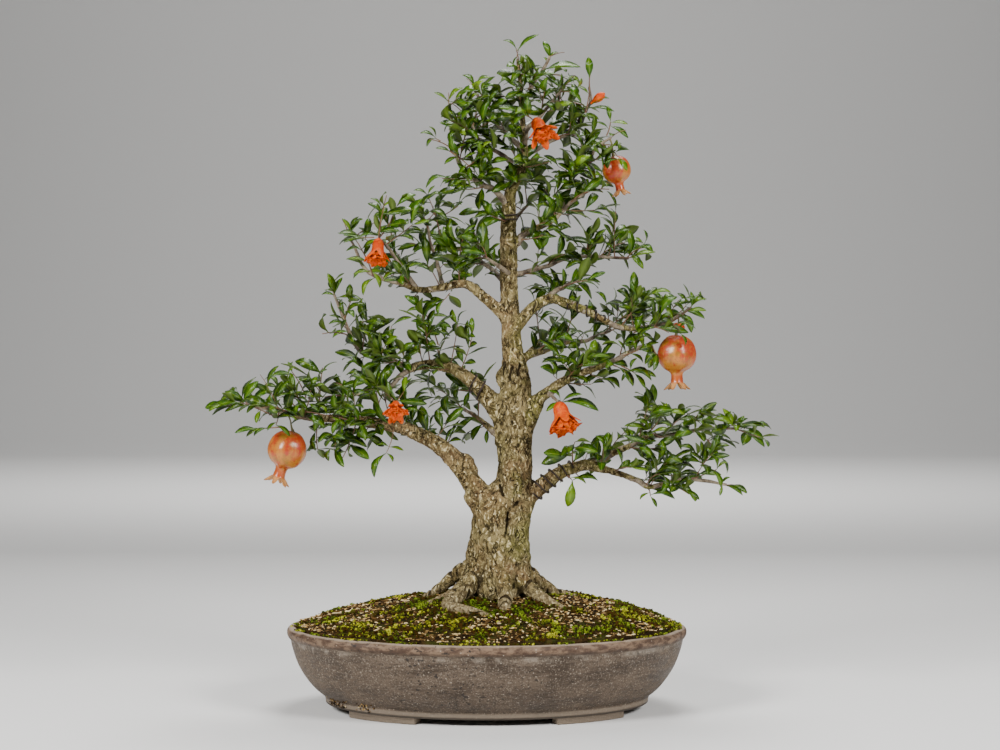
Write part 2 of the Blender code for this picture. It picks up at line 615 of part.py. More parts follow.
def wood_routes():
    """Every tube of the wood as (name, route, sides)."""
    routes = [("trunk", limb_route("trunk"), TRUNK_SIDES)]
    for name, (points, base, tip) in ROOTS.items():
        routes.append(("root_" + name, root_route(points, base, tip), ROOT_SIDES))
    for name, (_, base, _) in LIMBS.items():
        thin = base < THIN_LIMB_RADIUS
        sides = THICK_LIMBS.get(name, THIN_LIMB_SIDES if thin else LIMB_SIDES)
        routes.append((name, limb_route(name), sides))
    return routes


def build_wood(name, collection, swell=0.0):
    """Trunk, roots and limbs fused into one solid. A swollen copy cuts what has to clear it."""
    pieces = []
    for part, route, sides in wood_routes():
        fat = route.copy()
        fat[:, 3] += swell
        for end, inner in ((0, 1), (-1, -2)):
            outward = route[end, :3] - route[inner, :3]
            fat[end, :3] += outward / np.linalg.norm(outward) * swell
        pieces.append(tube(f"{part}_tube", fat, sides, collection))
    for k, (centre, radius) in enumerate(BURRS):
        bm = bmesh.new()
        bmesh.ops.create_icosphere(bm, subdivisions=1, radius=radius + swell,
                                   matrix=Matrix.Translation(centre))
        pieces.append(object_from_bmesh(f"burr_{k}", bm, collection, "bark"))
    wood = pieces[0]
    wood.name = name
    return boolean(wood, "UNION", pieces[1:], solver="MANIFOLD")


# Leafy stems

class Crowd:
    """What already fills the space round the tree, as balls with an owner."""

    def __init__(self):
        self.places = np.empty((0, 3))
        self.radii = np.empty(0)
        self.owners = []

    def add(self, places, radii, owner):
        self.places = np.vstack([self.places, places])
        self.radii = np.concatenate([self.radii, radii])
        self.owners += [owner] * len(places)

    def clear_of(self, places, radii, ignore=()):
        """True if the given balls keep the leaf clearance to all others."""
        if not len(self.radii):
            return True
        use = np.array([owner not in ignore for owner in self.owners])
        apart = np.linalg.norm(places[:, None, :] - self.places[None, use, :], axis=2)
        return bool((apart > radii[:, None] + self.radii[None, use] + LEAF_CLEARANCE).all())


def balls_along(route, step=0.0022):
    """Balls that fill a tube, close enough together that nothing slips between them."""
    places, radii = [], []
    for a, b in zip(route, route[1:]):
        count = max(1, math.ceil(np.linalg.norm(b[:3] - a[:3]) / step))
        for k in range(count + 1):
            here = a + (b - a) * k / count
            places.append(here[:3])
            radii.append(here[3])
    return np.array(places), np.array(radii)


class Leaf:
    """An arched blade that grows from a foot, along a way, with its upper side to the top."""

    def __init__(self, foot, way, top, length, curl):
        self.foot, self.way, self.length, self.curl = foot, way, length, curl
        self.side = way.cross(top).normalized()
        self.normal = self.side.cross(way)
        self.half = length * LEAF_WIDTH_SHARE / 2

    def at(self, t):
        """The midrib, which rises from the foot and then arches over."""
        lift = (LEAF_RISE * t - LEAF_FALL * t * t) * self.curl
        ahead = self.length * t * (1 - 0.06 * t)
        return self.foot + self.way * ahead + self.normal * (self.length * lift)

    def section(self, t, width):
        """Right edge, rib, left edge and keel of the blade at t."""
        middle = self.at(t)
        across = self.side * (self.half * width)
        raised = self.normal * (self.half * width * LEAF_FOLD)
        return [middle + across + raised, middle + self.normal * LEAF_KEEL / 2,
                middle - across + raised, middle - self.normal * LEAF_KEEL / 2]

    def balls(self):
        """Balls over the blade, without its foot, which sits in the stem."""
        places, radii = [], []
        for t in (0.20, 0.31, 0.44, 0.57, 0.70, 0.84, 0.97):
            width = self.half * min(t / LEAF_WIDEST, (1.0 - t) / (1.0 - LEAF_WIDEST))
            places += [self.at(t) + self.side * (width * s) for s in (-0.66, 0, 0.66)]
            radii += [max(LEAF_BALL_LEAST, width * 0.36)] * 3
        return np.array(places), np.array(radii)


class Shoot:
    """A square stem or side twig with short nodes, which carry opposite leaves in turn."""

    def __init__(self, start, way, sway, radius, nodes, rng):
        self.start, self.way, self.sway, self.radius = start, way, sway, radius
        self.turn = rng.uniform(0, math.tau)
        self.nodes = [LAST_NODE - NODE_REACH * k / nodes for k in reversed(range(nodes))]
        self.twigs = {}

    def at(self, t):
        return self.start + self.way * t + self.sway * (4 * t * (1 - t))

    def frame(self, t):
        """The stem's direction at t, and two directions square to it."""
        along = (self.way + self.sway * (4 - 8 * t)).normalized()
        side = radial(along, self.turn)
        return along, side, along.cross(side)

    def corner(self, t, a, b):
        """A corner of the square section at t, on the sides that the signs a and b give."""
        _, side, top = self.frame(t)
        return self.at(t) + (side * a + top * b) * (self.radius * (1 - 0.25 * t))

    def ring(self, t):
        return [self.corner(t, a, b) for a, b in SQUARE]

    def faces_at(self, node):
        """The two directions that this node's leaves take, and the two that are free for twigs."""
        _, side, top = self.frame(self.nodes[node])
        leafy, free = ((side, -side), (top, -top))
        return (free, leafy) if node % 2 else (leafy, free)

    def leaves(self, rng):
        """Every leaf that the shoot could bear, from the tip inwards, as (node, away, leaf)."""
        found = []
        for node in reversed(range(len(self.nodes))):
            t = self.nodes[node]
            along, _, _ = self.frame(t)
            if node == len(self.nodes) - 1:
                way = (along + Vector((0, 0, rng.uniform(-0.25, 0.15)))).normalized()
                found.append((node, None, self.leaf(1.0, way, rng)))
            for away in self.faces_at(node)[0]:
                spread = 1.20 - 0.50 * t + rng.uniform(-0.12, 0.12)
                way = along * math.cos(spread) + away * math.sin(spread)
                way = (way + Vector((0, 0, rng.uniform(-0.22, 0.10)))).normalized()
                found.append((node, away, self.leaf(t, way, rng)))
        return found

    def leaf(self, t, way, rng):
        top = UP * 0.9 + Vector([rng.uniform(-0.4, 0.4) for _ in range(3)])
        size = LEAF_LENGTH * (1.05 - 0.20 * t) * rng.uniform(0.85, 1.12)
        return Leaf(self.at(t), way, top, size, rng.uniform(0.7, 1.35))

    def route(self):
        return np.array([(*self.at(t), self.radius) for t in (0, 0.33, 0.67, 1.0)])


def radial(along, angle):
    """A unit vector square to the stem, at an angle round it counted from the side."""
    side = along.cross(UP)
    if side.length < 0.2:
        side = along.cross(Vector((0, 1, 0)))
    side.normalize()
    return Matrix.Rotation(angle, 3, along) @ side


def plan_spray(number, limb, share, offset):
    """The main shoot of one spray, with a side twig at most of its nodes."""
    rng = random.Random(f"{limb} {number}")
    start, _, _ = point_on(limb_route(limb), share)
    way = Vector(offset)
    sway = Vector((rng.uniform(-0.05, 0.05), rng.uniform(-0.05, 0.05), STEM_ARCH)) * way.length
    nodes = max(3, round(way.length / NODE_SPACING))
    main = Shoot(start, way, sway, STEM_RADIUS, nodes, rng)
    for node, t in enumerate(main.nodes[:-1]):
        along, _, _ = main.frame(t)
        away = main.faces_at(node)[1][rng.randrange(2)]
        lean = rng.uniform(*TWIG_LEANS)
        twig_way = along * math.cos(lean) + away * math.sin(lean) + UP * TWIG_RISE
        length = max(TWIG_LEAST, way.length * rng.uniform(*TWIG_SHARES))
        twig = Shoot(main.at(t), twig_way.normalized() * length, Vector(), TWIG_RADIUS, 1, rng)
        main.twigs[node] = (away, twig)
    return main


def extrude_to(bm, face, corners):
    """Extrudes a face to new corners, in the order that twists its walls least."""
    cap = bmesh.ops.extrude_discrete_faces(bm, faces=[face])["faces"][0]
    middle = cap.calc_center_median()
    goal = sum(corners, Vector()) / len(corners)
    verts = list(cap.verts)
    orders = [corners[k:] + corners[:k] for k in range(len(corners))]
    orders += [order[::-1] for order in orders]

    def twist(order):
        return sum(((vert.co - middle).normalized() - (corner - goal).normalized()).length
                   for vert, corner in zip(verts, order))

    for vert, corner in zip(verts, min(orders, key=twist)):
        vert.co = corner
    cap.normal_update()
    return cap


def walls_of(cap):
    """The faces that the last extrusion left round a cap."""
    return [face for edge in cap.edges for face in edge.link_faces if face is not cap]


def facing(faces, away):
    for face in faces:
        face.normal_update()
    return max(faces, key=lambda face: face.normal.dot(away))


def grow_leaf(bm, face, leaf):
    cap = extrude_to(bm, face, leaf.section(LEAF_WIDEST, 1.0))
    tip = bmesh.ops.poke(bm, faces=[cap])["verts"][0]
    tip.co = leaf.at(1.0)


def grow_shoot(bm, face, shoot, chosen):
    """Extrudes a face along the shoot, and each node's chosen leaves and twig from its walls."""
    half_node = NODE_LENGTH / 2 / shoot.way.length
    cap = face
    for node, t in enumerate(shoot.nodes):
        cap = extrude_to(bm, cap, shoot.ring(t - half_node))
        cap = extrude_to(bm, cap, shoot.ring(min(1.0, t + half_node)))
        walls = walls_of(cap)
        leaves = chosen.get((id(shoot), node), [])
        growing = [(facing(walls, away), leaf) for away, leaf in leaves if away is not None]
        ending = [leaf for away, leaf in leaves if away is None]
        if node in shoot.twigs and (id(shoot), "twig", node) in chosen:
            away, twig = shoot.twigs[node]
            grow_shoot(bm, facing(walls, away), twig, chosen)
        for wall, leaf in growing:
            grow_leaf(bm, wall, leaf)
        for leaf in ending:
            grow_leaf(bm, cap, leaf)


def choose_growth(name, main, crowd, rng):
    """Picks the twigs and leaves that keep clear of all that is there, in turn from each shoot."""
    chosen, shoots = {}, [main]
    for node, (_, twig) in main.twigs.items():
        places, radii = balls_along(twig.route())
        if crowd.clear_of(places[2:], radii[2:], ignore=(name,)):
            crowd.add(places, radii, name)
            shoots.append(twig)
            chosen[(id(main), "twig", node)] = True
    queues = [(shoot, shoot.leaves(rng)) for shoot in shoots]
    count = 0
    while count < LEAVES_PER_SPRAY and any(queue for _, queue in queues):
        for shoot, queue in queues:
            while queue and count < LEAVES_PER_SPRAY:
                node, away, leaf = queue.pop(0)
                places, radii = leaf.balls()
                if crowd.clear_of(places, radii, ignore=(name,)):
                    crowd.add(places, radii, name + "_leaf")
                    chosen.setdefault((id(shoot), node), []).append((away, leaf))
                    count += 1
                    break
    return chosen


def build_spray(name, main, crowd, collection):
    """One leafy stem with its side twigs and leaves, all extruded from one square foot."""
    chosen = choose_growth(name, main, crowd, random.Random(name))
    bm = bmesh.new()
    for vert in bmesh.ops.create_cube(bm, size=2.0)["verts"]:
        a, b, level = vert.co
        vert.co = main.corner(FOOT_SHARE * (level + 1) / 2, a, b)
    grow_shoot(bm, facing(bm.faces, main.way), main, chosen)
    return object_from_bmesh(name, bm, collection, "leaf")


# Fruit, flowers and buds

def frame_along(way):
    """A rotation that turns +Z to the given way."""
    return Vector(way).normalized().to_track_quat("Z", "Y").to_matrix().to_4x4()


def turned_body(profile, steps, pose):
    """A closed body of revolution round +Z, from (radius, z) points with both ends on the axis."""
    bm = bmesh.new()
    verts = [bm.verts.new((radius, 0, z)) for radius, z in profile]
    edges = [bm.edges.new(pair) for pair in zip(verts, verts[1:])]
    bmesh.ops.spin(bm, geom=verts + edges, cent=(0, 0, 0), axis=(0, 0, 1), angle=math.tau,
                   steps=steps, use_merge=True)
    bmesh.ops.remove_doubles(bm, verts=bm.verts, dist=1e-6)
    bmesh.ops.transform(bm, matrix=pose, verts=bm.verts)
    return bm


def build_fruit(name, collection):
    """A fruit with its neck, its crown of pointed lobes and the stalk that it hangs by."""
    centre, radius, lean, limb, share = FRUITS[name]
    down = Vector((lean, 0, -1)).normalized()
    pose = Matrix.Translation(centre) @ frame_along(down)
    profile = [(0, -0.95), (0.50, -0.86), (0.86, -0.50), (1.0, 0.0), (0.90, 0.44), (0.58, 0.80),
               (0.32, 0.94), (0.30, 1.12), (0.38, 1.34), (0.20, 1.28), (0, 1.22)]
    profile = [(r * radius, z * radius) for r, z in profile]
    stars = {profile[-3][1]: (radius * 0.24, radius * 0.24, 0)}
    bm = starred(turned_body(profile, 2 * SEPALS, Matrix()), stars, pose)
    fruit = object_from_bmesh(name, bm, collection, "fruit_skin")
    hold, _, _ = point_on(limb_route(limb), share)
    top = Vector(centre) - down * radius * 0.85
    middle = (hold + top) / 2
    stalk = tube(f"{name}_stalk", [(*hold, 0.0010), (*middle, 0.0012), (*top, 0.0018)], 4,
                 collection, "fruit_skin")
    return boolean(fruit, "UNION", [stalk], solver="MANIFOLD")


def starred(bm, points_of_star, pose):
    """Pushes alternate verts of the marked rings out, and so turns those rings into stars.

    A ring is marked by its height before the pose is given: its values are how far its points go
    out and ahead, and whether it is turned by one step."""
    for vert in bm.verts:
        for z, (out, ahead, turned) in points_of_star.items():
            if abs(vert.co.z - z) < 1e-6:
                step = round(math.atan2(vert.co.y, vert.co.x) / math.pi * SEPALS)
                if step % 2 == turned:
                    radius = math.hypot(vert.co.x, vert.co.y)
                    vert.co.x *= 1 + out / radius
                    vert.co.y *= 1 + out / radius
                    vert.co.z += ahead
                break
    bmesh.ops.transform(bm, matrix=pose, verts=bm.verts)
    return bm


def build_flower(name, collection):
    """A trumpet of thick calyx with pointed sepals, crumpled petals inside and a stamen boss."""
    limb, way, length = FLOWERS[name]
    hold, _, _ = point_on(limb_route(limb), 1.0)
    pose = Matrix.Translation(hold) @ frame_along(way)
    r, body = FLOWER_RADIUS, length * 0.62
    profile = [(0, 0), (0.0014, 0.0), (r * 0.62, body * 0.32), (r * 0.78, body * 0.62),
               (r * 0.96, body), (r * 1.05, body * 1.08), (r * 0.86, body * 1.04),
               (r * 0.98, length * 0.86), (r * 0.52, length * 0.80), (r * 0.30, length * 0.96),
               (0, length)]
    stars = {body * 1.08: (r * 1.15, length * 0.16, 0), length * 0.86: (r * 0.42, length * 0.06, 1)}
    bm = starred(turned_body(profile, 2 * SEPALS, Matrix()), stars, pose)
    return object_from_bmesh(name, bm, collection, "petal")


def build_bud(name, collection):
    """A closed bud: a slim stalk that swells to a pointed oval."""
    base, way, length = BUDS[name]
    pose = Matrix.Translation(base) @ frame_along(way)
    profile = [(0, 0), (0.0011, 0), (0.0014, 0.14), (0.0030, 0.36), (0.0037, 0.62), (0.0026, 0.86),
               (0, 1.0)]
    bm = turned_body([(r, z * length) for r, z in profile], 8, pose)
    return object_from_bmesh(name, bm, collection, "petal")


def build_wire(name, collection):
    """A training wire wound round a limb in even turns, just clear of the bark."""
    limb, first, last, turns, radius = WIRES[name]
    route = limb_route(limb)
    count = round(turns * WIRE_POINTS_PER_TURN)
    points = []
    for k in range(count + 1):
        centre, along, thick = point_on(route, first + (last - first) * k / count)
        away = radial(along, math.tau * turns * k / count)
        points.append((*(centre + away * (thick * WIRE_SWELL + radius * WIRE_STANDOFF + WIRE_GAP)), radius))
    return tube(name, points, 4, collection, "wire")


def crowd_of_wood(crowd):
    for part, route, _ in wood_routes():
        places, radii = balls_along(route)
        crowd.add(places, radii, part)


def crowd_of_guests(crowd):
    """Fills the places of the fruits, flowers and buds before any leaf is placed."""
    for centre, radius, lean, _, _ in FRUITS.values():
        down = Vector((lean, 0, -1)).normalized()
        crowd.add(np.array([centre, Vector(centre) + down * radius * 1.4]),
                  np.array([radius, radius * 0.75]), "fruit")
    for limb, way, length in FLOWERS.values():
        hold, _, _ = point_on(limb_route(limb), 1.0)
        face = hold + Vector(way).normalized() * length * 0.75
        places = np.array([hold.lerp(face, t) for t in (0.35, 0.65, 1.0)])
        crowd.add(places, np.array([0.004, 0.006, 0.0125]), "flower")
    for base, way, length in BUDS.values():
        tip = Vector(base) + Vector(way).normalized() * length
        places = np.array([Vector(base).lerp(tip, t) for t in (0.1, 0.4, 0.7, 1.0)])
        crowd.add(places, np.array([0.002, 0.004, 0.004, 0.002]), "bud")


def main():
    clear_scene()
    tree = new_collection("pomegranate_bonsai")
    build_pot(tree)
    build_screen("drain_screen_left", -DRAIN_OFFSET, tree)
    build_screen("drain_screen_right", DRAIN_OFFSET, tree)
    build_wood("wood", tree)
    clearance = build_wood("clearance", tree, swell=WOOD_GAP)
    build_soil(tree, copy_of(clearance, tree))
    guests = [build_fruit(name, tree) for name in FRUITS]
    guests += [build_flower(name, tree) for name in FLOWERS]
    guests += [build_bud(name, tree) for name in BUDS]
    for name in WIRES:
        build_wire(name, tree)

    crowd = Crowd()
    crowd_of_wood(crowd)
    crowd_of_guests(crowd)
    for name, (limb, first, last, turns, radius) in WIRES.items():
        route = limb_route(limb)
        ring = [point_on(route, first + (last - first) * k / 12) for k in range(13)]
        crowd.add(np.array([centre for centre, _, _ in ring]),
                  np.array([thick + 3 * radius for _, _, thick in ring]), name)
    plans = {}
    for number, (limb, share, offset) in enumerate(SPRAYS, 1):
        name = f"spray_{number:02d}_{limb}"
        plans[name] = plan_spray(number, limb, share, offset)
        places, radii = balls_along(plans[name].route())
        crowd.add(places, radii, name)
    for name, shoot in plans.items():
        guests.append(build_spray(name, shoot, crowd, tree))

    for guest in guests:
        boolean(guest, "DIFFERENCE", [copy_of(clearance, tree)], solver="MANIFOLD")
        keep_largest_shell(guest)
    bpy.data.objects.remove(clearance)


main()
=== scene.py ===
"""Looks of a pomegranate bonsai in its oval stoneware pot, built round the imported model.

The tables of courses, outlines and places are in millimetres, sprigs are in points of the front
picture, and everything else is in metres. The front looks along -Y, and the pot stands on z = 0.
"""

import itertools
import logging
import math
import random
from collections import Counter
from dataclasses import dataclass, field
from enum import Enum
from typing import Callable, Iterable, Sequence

import bmesh
import bpy
import numpy as np
from mathutils import Matrix, Vector, kdtree, noise


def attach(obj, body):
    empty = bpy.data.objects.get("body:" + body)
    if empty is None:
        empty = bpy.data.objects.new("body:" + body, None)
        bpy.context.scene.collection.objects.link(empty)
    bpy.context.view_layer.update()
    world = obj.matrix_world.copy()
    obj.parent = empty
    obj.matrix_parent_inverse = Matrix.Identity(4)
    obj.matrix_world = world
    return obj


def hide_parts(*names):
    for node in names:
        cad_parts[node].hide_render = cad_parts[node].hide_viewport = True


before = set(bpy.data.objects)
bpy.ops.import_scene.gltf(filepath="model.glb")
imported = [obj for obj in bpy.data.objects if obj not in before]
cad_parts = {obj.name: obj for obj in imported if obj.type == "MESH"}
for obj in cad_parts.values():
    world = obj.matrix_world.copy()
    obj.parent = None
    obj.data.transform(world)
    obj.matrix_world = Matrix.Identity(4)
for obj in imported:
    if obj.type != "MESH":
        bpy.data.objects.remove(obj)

LOG = logging.getLogger("bonsai")
MM = 0.001
UP = Vector((0, 0, 1))
BACK = Vector((0, 1, 0))
Socket = bpy.types.NodeSocket
Node = bpy.types.Node
Mesh = bpy.types.Mesh
BMesh = bmesh.types.BMesh
Pair = tuple[float, float]
Triple = tuple[float, float, float]
Quad = tuple[float, float, float, float]
Rgb = Triple


# The grown shape: courses that the wood, its stems and its wires follow


@dataclass(frozen=True)
class Course:
    """A limb's or a root's way through space.

    Attributes:
        points: (x, y, z) in millimetres; a root's third number is its lift over the soil.
        base: Radius at the start in millimetres.
        tip: Radius at the end in millimetres.
        bare: Share of the length that carries no leafy stem.
    """

    points: tuple[Triple, ...]
    base: float
    tip: float
    bare: float = 0.25


TRUNK: tuple[Quad, ...] = (
    (12, 0, 72, 24), (11, 0, 104, 31), (10, 0, 128, 33), (11, -1, 149, 32.5), (12, -1, 172, 29),
    (14.5, -1, 194, 27.5), (22.5, -1, 214, 22.5), (27.2, 0, 230, 18.2), (28, 0, 268, 17.6),
    (28.6, 0, 308, 16.5), (28.6, 0, 333, 14.5), (26, 1, 354, 11.2), (24, 1, 382, 9.7),
    (22.6, 1, 410, 9.4), (21.6, 1, 452.6, 9.2), (21.5, 1, 487, 7.9), (23, 1, 514, 6.2),
    (30, 1, 532, 5.4), (37, 0, 548, 4.7), (36, 0, 585, 3.4), (34, 0, 621, 2.5), (30, 0, 651, 1.4),
)

ROOTS: dict[str, Course] = {
    "left": Course(((0, 4, 30), (-25, 5, 23), (-45, 6, 9), (-64, 5, -1)), 11.5, 2.0),
    "front_left": Course(((0, -12, 22), (-17, -24, 15), (-33, -37, 4), (-37, -50, 1), (-22, -64, 1),
        (-6, -74, 0), (7, -83, -1)), 12.0, 2.2),
    "front": Course(((16, -14, 34), (17, -32, 19), (18, -43, 8), (18, -52, 1), (18, -58, -7)), 8.5, 6.0),
    "front_right": Course(((26, -10, 24), (40, -24, 12), (54, -33, 4), (66, -40, 0),
        (79, -46, -2)), 11.0, 2.0),
    "right": Course(((34, 2, 26), (48, 5, 14), (62, 8, 6), (77, 11, 1), (91, 12, -1)), 10.0, 2.0),
    "back_right": Course(((24, 14, 24), (37, 31, 9), (47, 46, 1), (55, 62, -2)), 11.0, 2.0),
    "back_left": Course(((4, 14, 24), (-9, 32, 9), (-17, 48, 1), (-23, 64, -2)), 11.0, 2.0),
    "small_left": Course(((-6, -4, 18), (-28, -11, 7), (-45, -17, 1), (-60, -27, -1)), 8.5, 1.5),
}

LIMBS: dict[str, Course] = {
    "left_low": Course(((8, -4, 190), (-3, -6, 210), (-16, -9, 226.5), (-30, -11, 246), (-47, -12, 262),
        (-67, -14, 273), (-85, -15, 281), (-103, -16, 284), (-143, -20, 289), (-178, -22, 291),
        (-208, -20, 297), (-238, -18, 304)), 13.5, 1.3, 0.4),
    "left_low_spur": Course(((-83, -14, 280), (-85, -29, 293), (-89.5, -38, 306)), 2.6, 1.3, 0.9),
    "left_mid": Course(((22, 3, 293), (5, 5, 309), (-12, 7, 323), (-30, 9, 337), (-53, 11, 343.5),
        (-69, 12, 342), (-81, 12, 338)), 10.0, 4.3, 0.36),
    "left_mid_fall": Course(((-78, 12, 339), (-88, 9, 331), (-96, 4, 323), (-111, 0, 319),
        (-138, -4, 311)), 3.8, 1.2),
    "left_mid_rise": Course(((-74, 12, 341), (-106, 14, 348.6), (-127, 12, 356), (-138, 10, 373),
        (-145, 8, 390), (-154, 6, 414)), 3.6, 1.2),
    "left_high": Course(((20, -1, 388), (12, -2, 398), (-4, -3, 412), (-17, -4, 422.5), (-27, -5, 424.5),
        (-46, -6, 420.5), (-66, -7, 418), (-84, -8, 424), (-109, -10, 431), (-122, -11, 440),
        (-136, -10, 468)), 6.6, 1.2, 0.22),
    "left_high_spur": Course(((-70, -7, 419), (-85, -17, 440), (-97, -25, 458),
        (-107, -28, 468)), 2.6, 1.3, 0.5),
    "left_high_rise": Course(((-45, -5, 421), (-50, 10, 445), (-58, 17, 470), (-61, 18, 488)), 2.6, 1.2),
    "left_top": Course(((22, -1, 504), (6, -4, 519), (-1, -6, 522), (-11, -8, 528), (-21, -10, 535),
        (-29, -11, 548), (-35, -12, 570), (-38, -12, 602)), 4.2, 1.2, 0.2),
    "right_low": Course(((30, -1, 200), (46, -2, 214.5), (63, -3, 228), (76.5, -3, 236.5),
        (99.5, -3, 243.5)), 10.5, 5.6, 0.45),
    "right_low_back": Course(((96, -3, 242.5), (117, 1, 249), (128, 3, 254.7), (147, 6, 263),
        (160, 8, 269.7), (183, 10, 273), (200, 10, 274.7), (226, 8, 279.5), (250, 6, 279)), 4.5, 1.3, 0.1),
    "right_low_front": Course(((96, -4, 242), (120, -9, 238), (137, -13, 233), (150, -16, 228),
        (160, -18, 221.5), (177, -20, 225), (193, -21, 229.5), (218, -23, 228),
        (238, -24, 224)), 4.5, 1.3, 0.2),
    "right_mid": Course(((36, -4, 296), (46, -6, 305), (60, -8, 315), (75, -10, 326), (92, -12, 334),
        (112, -14, 341), (126, -15, 347), (148, -16, 359), (164, -16, 364)), 7.5, 1.4, 0.3),
    "right_mid_spur": Course(((60, -8, 315), (66, -24, 311), (71, -33, 306)), 2.6, 1.3, 0.9),
    "right_mid_back": Course(((26, 3, 344), (42, 10, 353), (55, 15, 357), (69, 20, 362), (83.5, 25, 366.5),
        (100.5, 30, 368), (126, 34, 378)), 5.5, 1.2, 0.2),
    "right_high": Course(((24, -2, 376), (34, -5, 387), (45, -8, 399.5), (58, -10, 408), (69, -11, 408.5),
        (83.5, -12, 403.5), (100.5, -13, 396.5), (118, -13, 387), (136, -13, 380), (157, -12, 380),
        (182, -12, 386.5), (203, -12, 400)), 7.0, 1.3, 0.45),
    "right_high_rise": Course(((56, -9, 407), (65, -4, 414.5), (76, 4, 421), (89, 10, 428), (97.5, 14, 437),
        (106, 17, 446)), 3.6, 1.2),
    "right_upper": Course(((22, -2, 458), (30, -4, 466), (37, -6, 474), (52, -9, 481), (66, -11, 487),
        (73.5, -12, 495), (83.5, -13, 505), (98.5, -15, 514)), 5.0, 1.2),
    "right_upper_rise": Course(((72, -12, 493), (80, -4, 514), (87.5, 0, 533), (101.5, 2, 546),
        (108.5, 0, 560), (124.5, -6, 571)), 2.6, 1.2),
    "right_upper_back": Course(((21, 3, 432), (43, 12, 438), (66, 18, 445), (83.5, 20, 452.5),
        (104.5, 20, 453.5), (122.5, 18, 452.5), (143, 16, 451)), 3.6, 1.2),
    "crown_left": Course(((32, 1, 538), (17, -4, 552), (-5, -8, 566), (-16, -9, 584)), 3.0, 1.2),
    "crown_back_left": Course(((37, 2, 560), (18, 10, 578), (3, 15, 596), (-13, 16, 622)), 2.8, 1.2),
    "crown_tip": Course(((35, 0, 604), (45, -6, 622), (56, -10, 638), (63, -12, 651)), 2.2, 1.2),
    "crown_right": Course(((36, 2, 552), (63, 10, 569), (89, 13, 581), (95, 12, 596), (104, 10, 608),
        (103, 9, 624)), 3.0, 1.2),
    "crown_middle": Course(((36, 0, 578), (53, -8, 592), (66, -12, 607), (77, -14, 620)), 2.4, 1.2),
    "crown_spur": Course(((38, -2, 563), (41, -17, 576), (48, -29, 586)), 2.4, 1.3, 0.9),
    "back_low": Course(((24, 10, 262), (6, 34, 276), (-12, 60, 290), (-26, 86, 297)), 5.8, 1.3),
    "back_mid": Course(((28, 8, 338), (44, 34, 356), (58, 66, 371), (66, 94, 381)), 5.5, 1.3),
    "back_high": Course(((21, 5, 424), (4, 32, 441), (-12, 60, 455), (-22, 78, 462)), 4.2, 1.2),
    "back_top": Course(((21, 4, 478), (32, 28, 496), (44, 52, 510)), 3.2, 1.2),
    "front_mid": Course(((22, -5, 434), (10, -26, 442), (0, -46, 448)), 3.2, 1.2),
}

NOISE_SEED = 7
TAPER_POWER = 0.8
ROOT_SWELL = 1.1
ROOT_END = 1.0
LIP_INSET = 13 * MM
POT_HALF_LENGTH = 200 * MM
POT_HALF_DEPTH = 151 * MM
OVAL_INSET = POT_HALF_LENGTH - POT_HALF_DEPTH
FLOOR_RADIUS = 146 * MM
SOIL_EDGE = 84 * MM
SOIL_RISE = 29.5 * MM
SOIL_PEAK_X = 20 * MM
SOIL_POWER = 2.1
SOIL_LEAN = 0.5
SOIL_LEAN_WIDTH = 30 * MM


def soil_height(x: float, y: float) -> float:
    """Height of the soil mound over the pot's feet, before its bumps.

    Args:
        x: Place along the pot.
        y: Place across the pot.

    Returns:
        The height in metres.
    """
    reach = POT_HALF_LENGTH - LIP_INSET
    dx = x - SOIL_PEAK_X
    across = dx / (reach - SOIL_PEAK_X if dx > 0 else reach + SOIL_PEAK_X)
    share = min(1.0, math.hypot(across, y / (POT_HALF_DEPTH - LIP_INSET)))
    power = SOIL_POWER + SOIL_LEAN * math.tanh(y / SOIL_LEAN_WIDTH)
    return SOIL_EDGE + SOIL_RISE * (1 - share**power)


def tapered(points: np.ndarray, base: float, tip: float) -> np.ndarray:
    """Adds radii that thin out from base to tip.

    Args:
        points: Rows of (x, y, z).
        base: Radius at the first point.
        tip: Radius at the last point.

    Returns:
        Rows of (x, y, z, radius).
    """
    spans = np.linalg.norm(np.diff(points, axis=0), axis=1)
    gone = np.concatenate([[0.0], np.cumsum(spans)]) / spans.sum()
    return np.column_stack([points, base + (tip - base) * gone**TAPER_POWER])


def limb_route(name: str) -> np.ndarray:
    """Rows of (x, y, z, radius) of a limb or of the trunk, in metres."""
    if name == "trunk":
        return np.array(TRUNK, float) * MM
    course = LIMBS[name]
    return tapered(np.array(course.points, float) * MM, course.base * MM, course.tip * MM)


def root_route(name: str) -> np.ndarray:
    """Rows of (x, y, z, radius) of a root, laid on the soil, in metres."""
    course = ROOTS[name]
    laid = [(x * MM, y * MM, soil_height(x * MM, y * MM) + lift * MM) for x, y, lift in course.points]
    return tapered(np.array(laid), course.base * ROOT_SWELL * MM, (course.tip + ROOT_END) * MM)


def smooth_route(route: np.ndarray, per_span: int) -> np.ndarray:
    """Points on the Catmull-Rom curve through a route's points.

    Args:
        route: Rows of (x, y, z, radius).
        per_span: New points for each span.

    Returns:
        Rows of (x, y, z, radius), closer together.
    """
    p = np.vstack([2 * route[0] - route[1], route, 2 * route[-1] - route[-2]])
    rows = []
    for i in range(1, len(p) - 2):
        for t in np.arange(per_span) / per_span:
            rows.append(0.5 * (2 * p[i] + (p[i + 1] - p[i - 1]) * t
                               + (2 * p[i - 1] - 5 * p[i] + 4 * p[i + 1] - p[i + 2]) * t**2
                               + (3 * p[i] - p[i - 1] - 3 * p[i + 1] + p[i + 2]) * t**3))
    smooth = np.array([*rows, p[-2]])
    smooth[:, 3] = np.maximum(smooth[:, 3], route[:, 3].min())
    return smooth


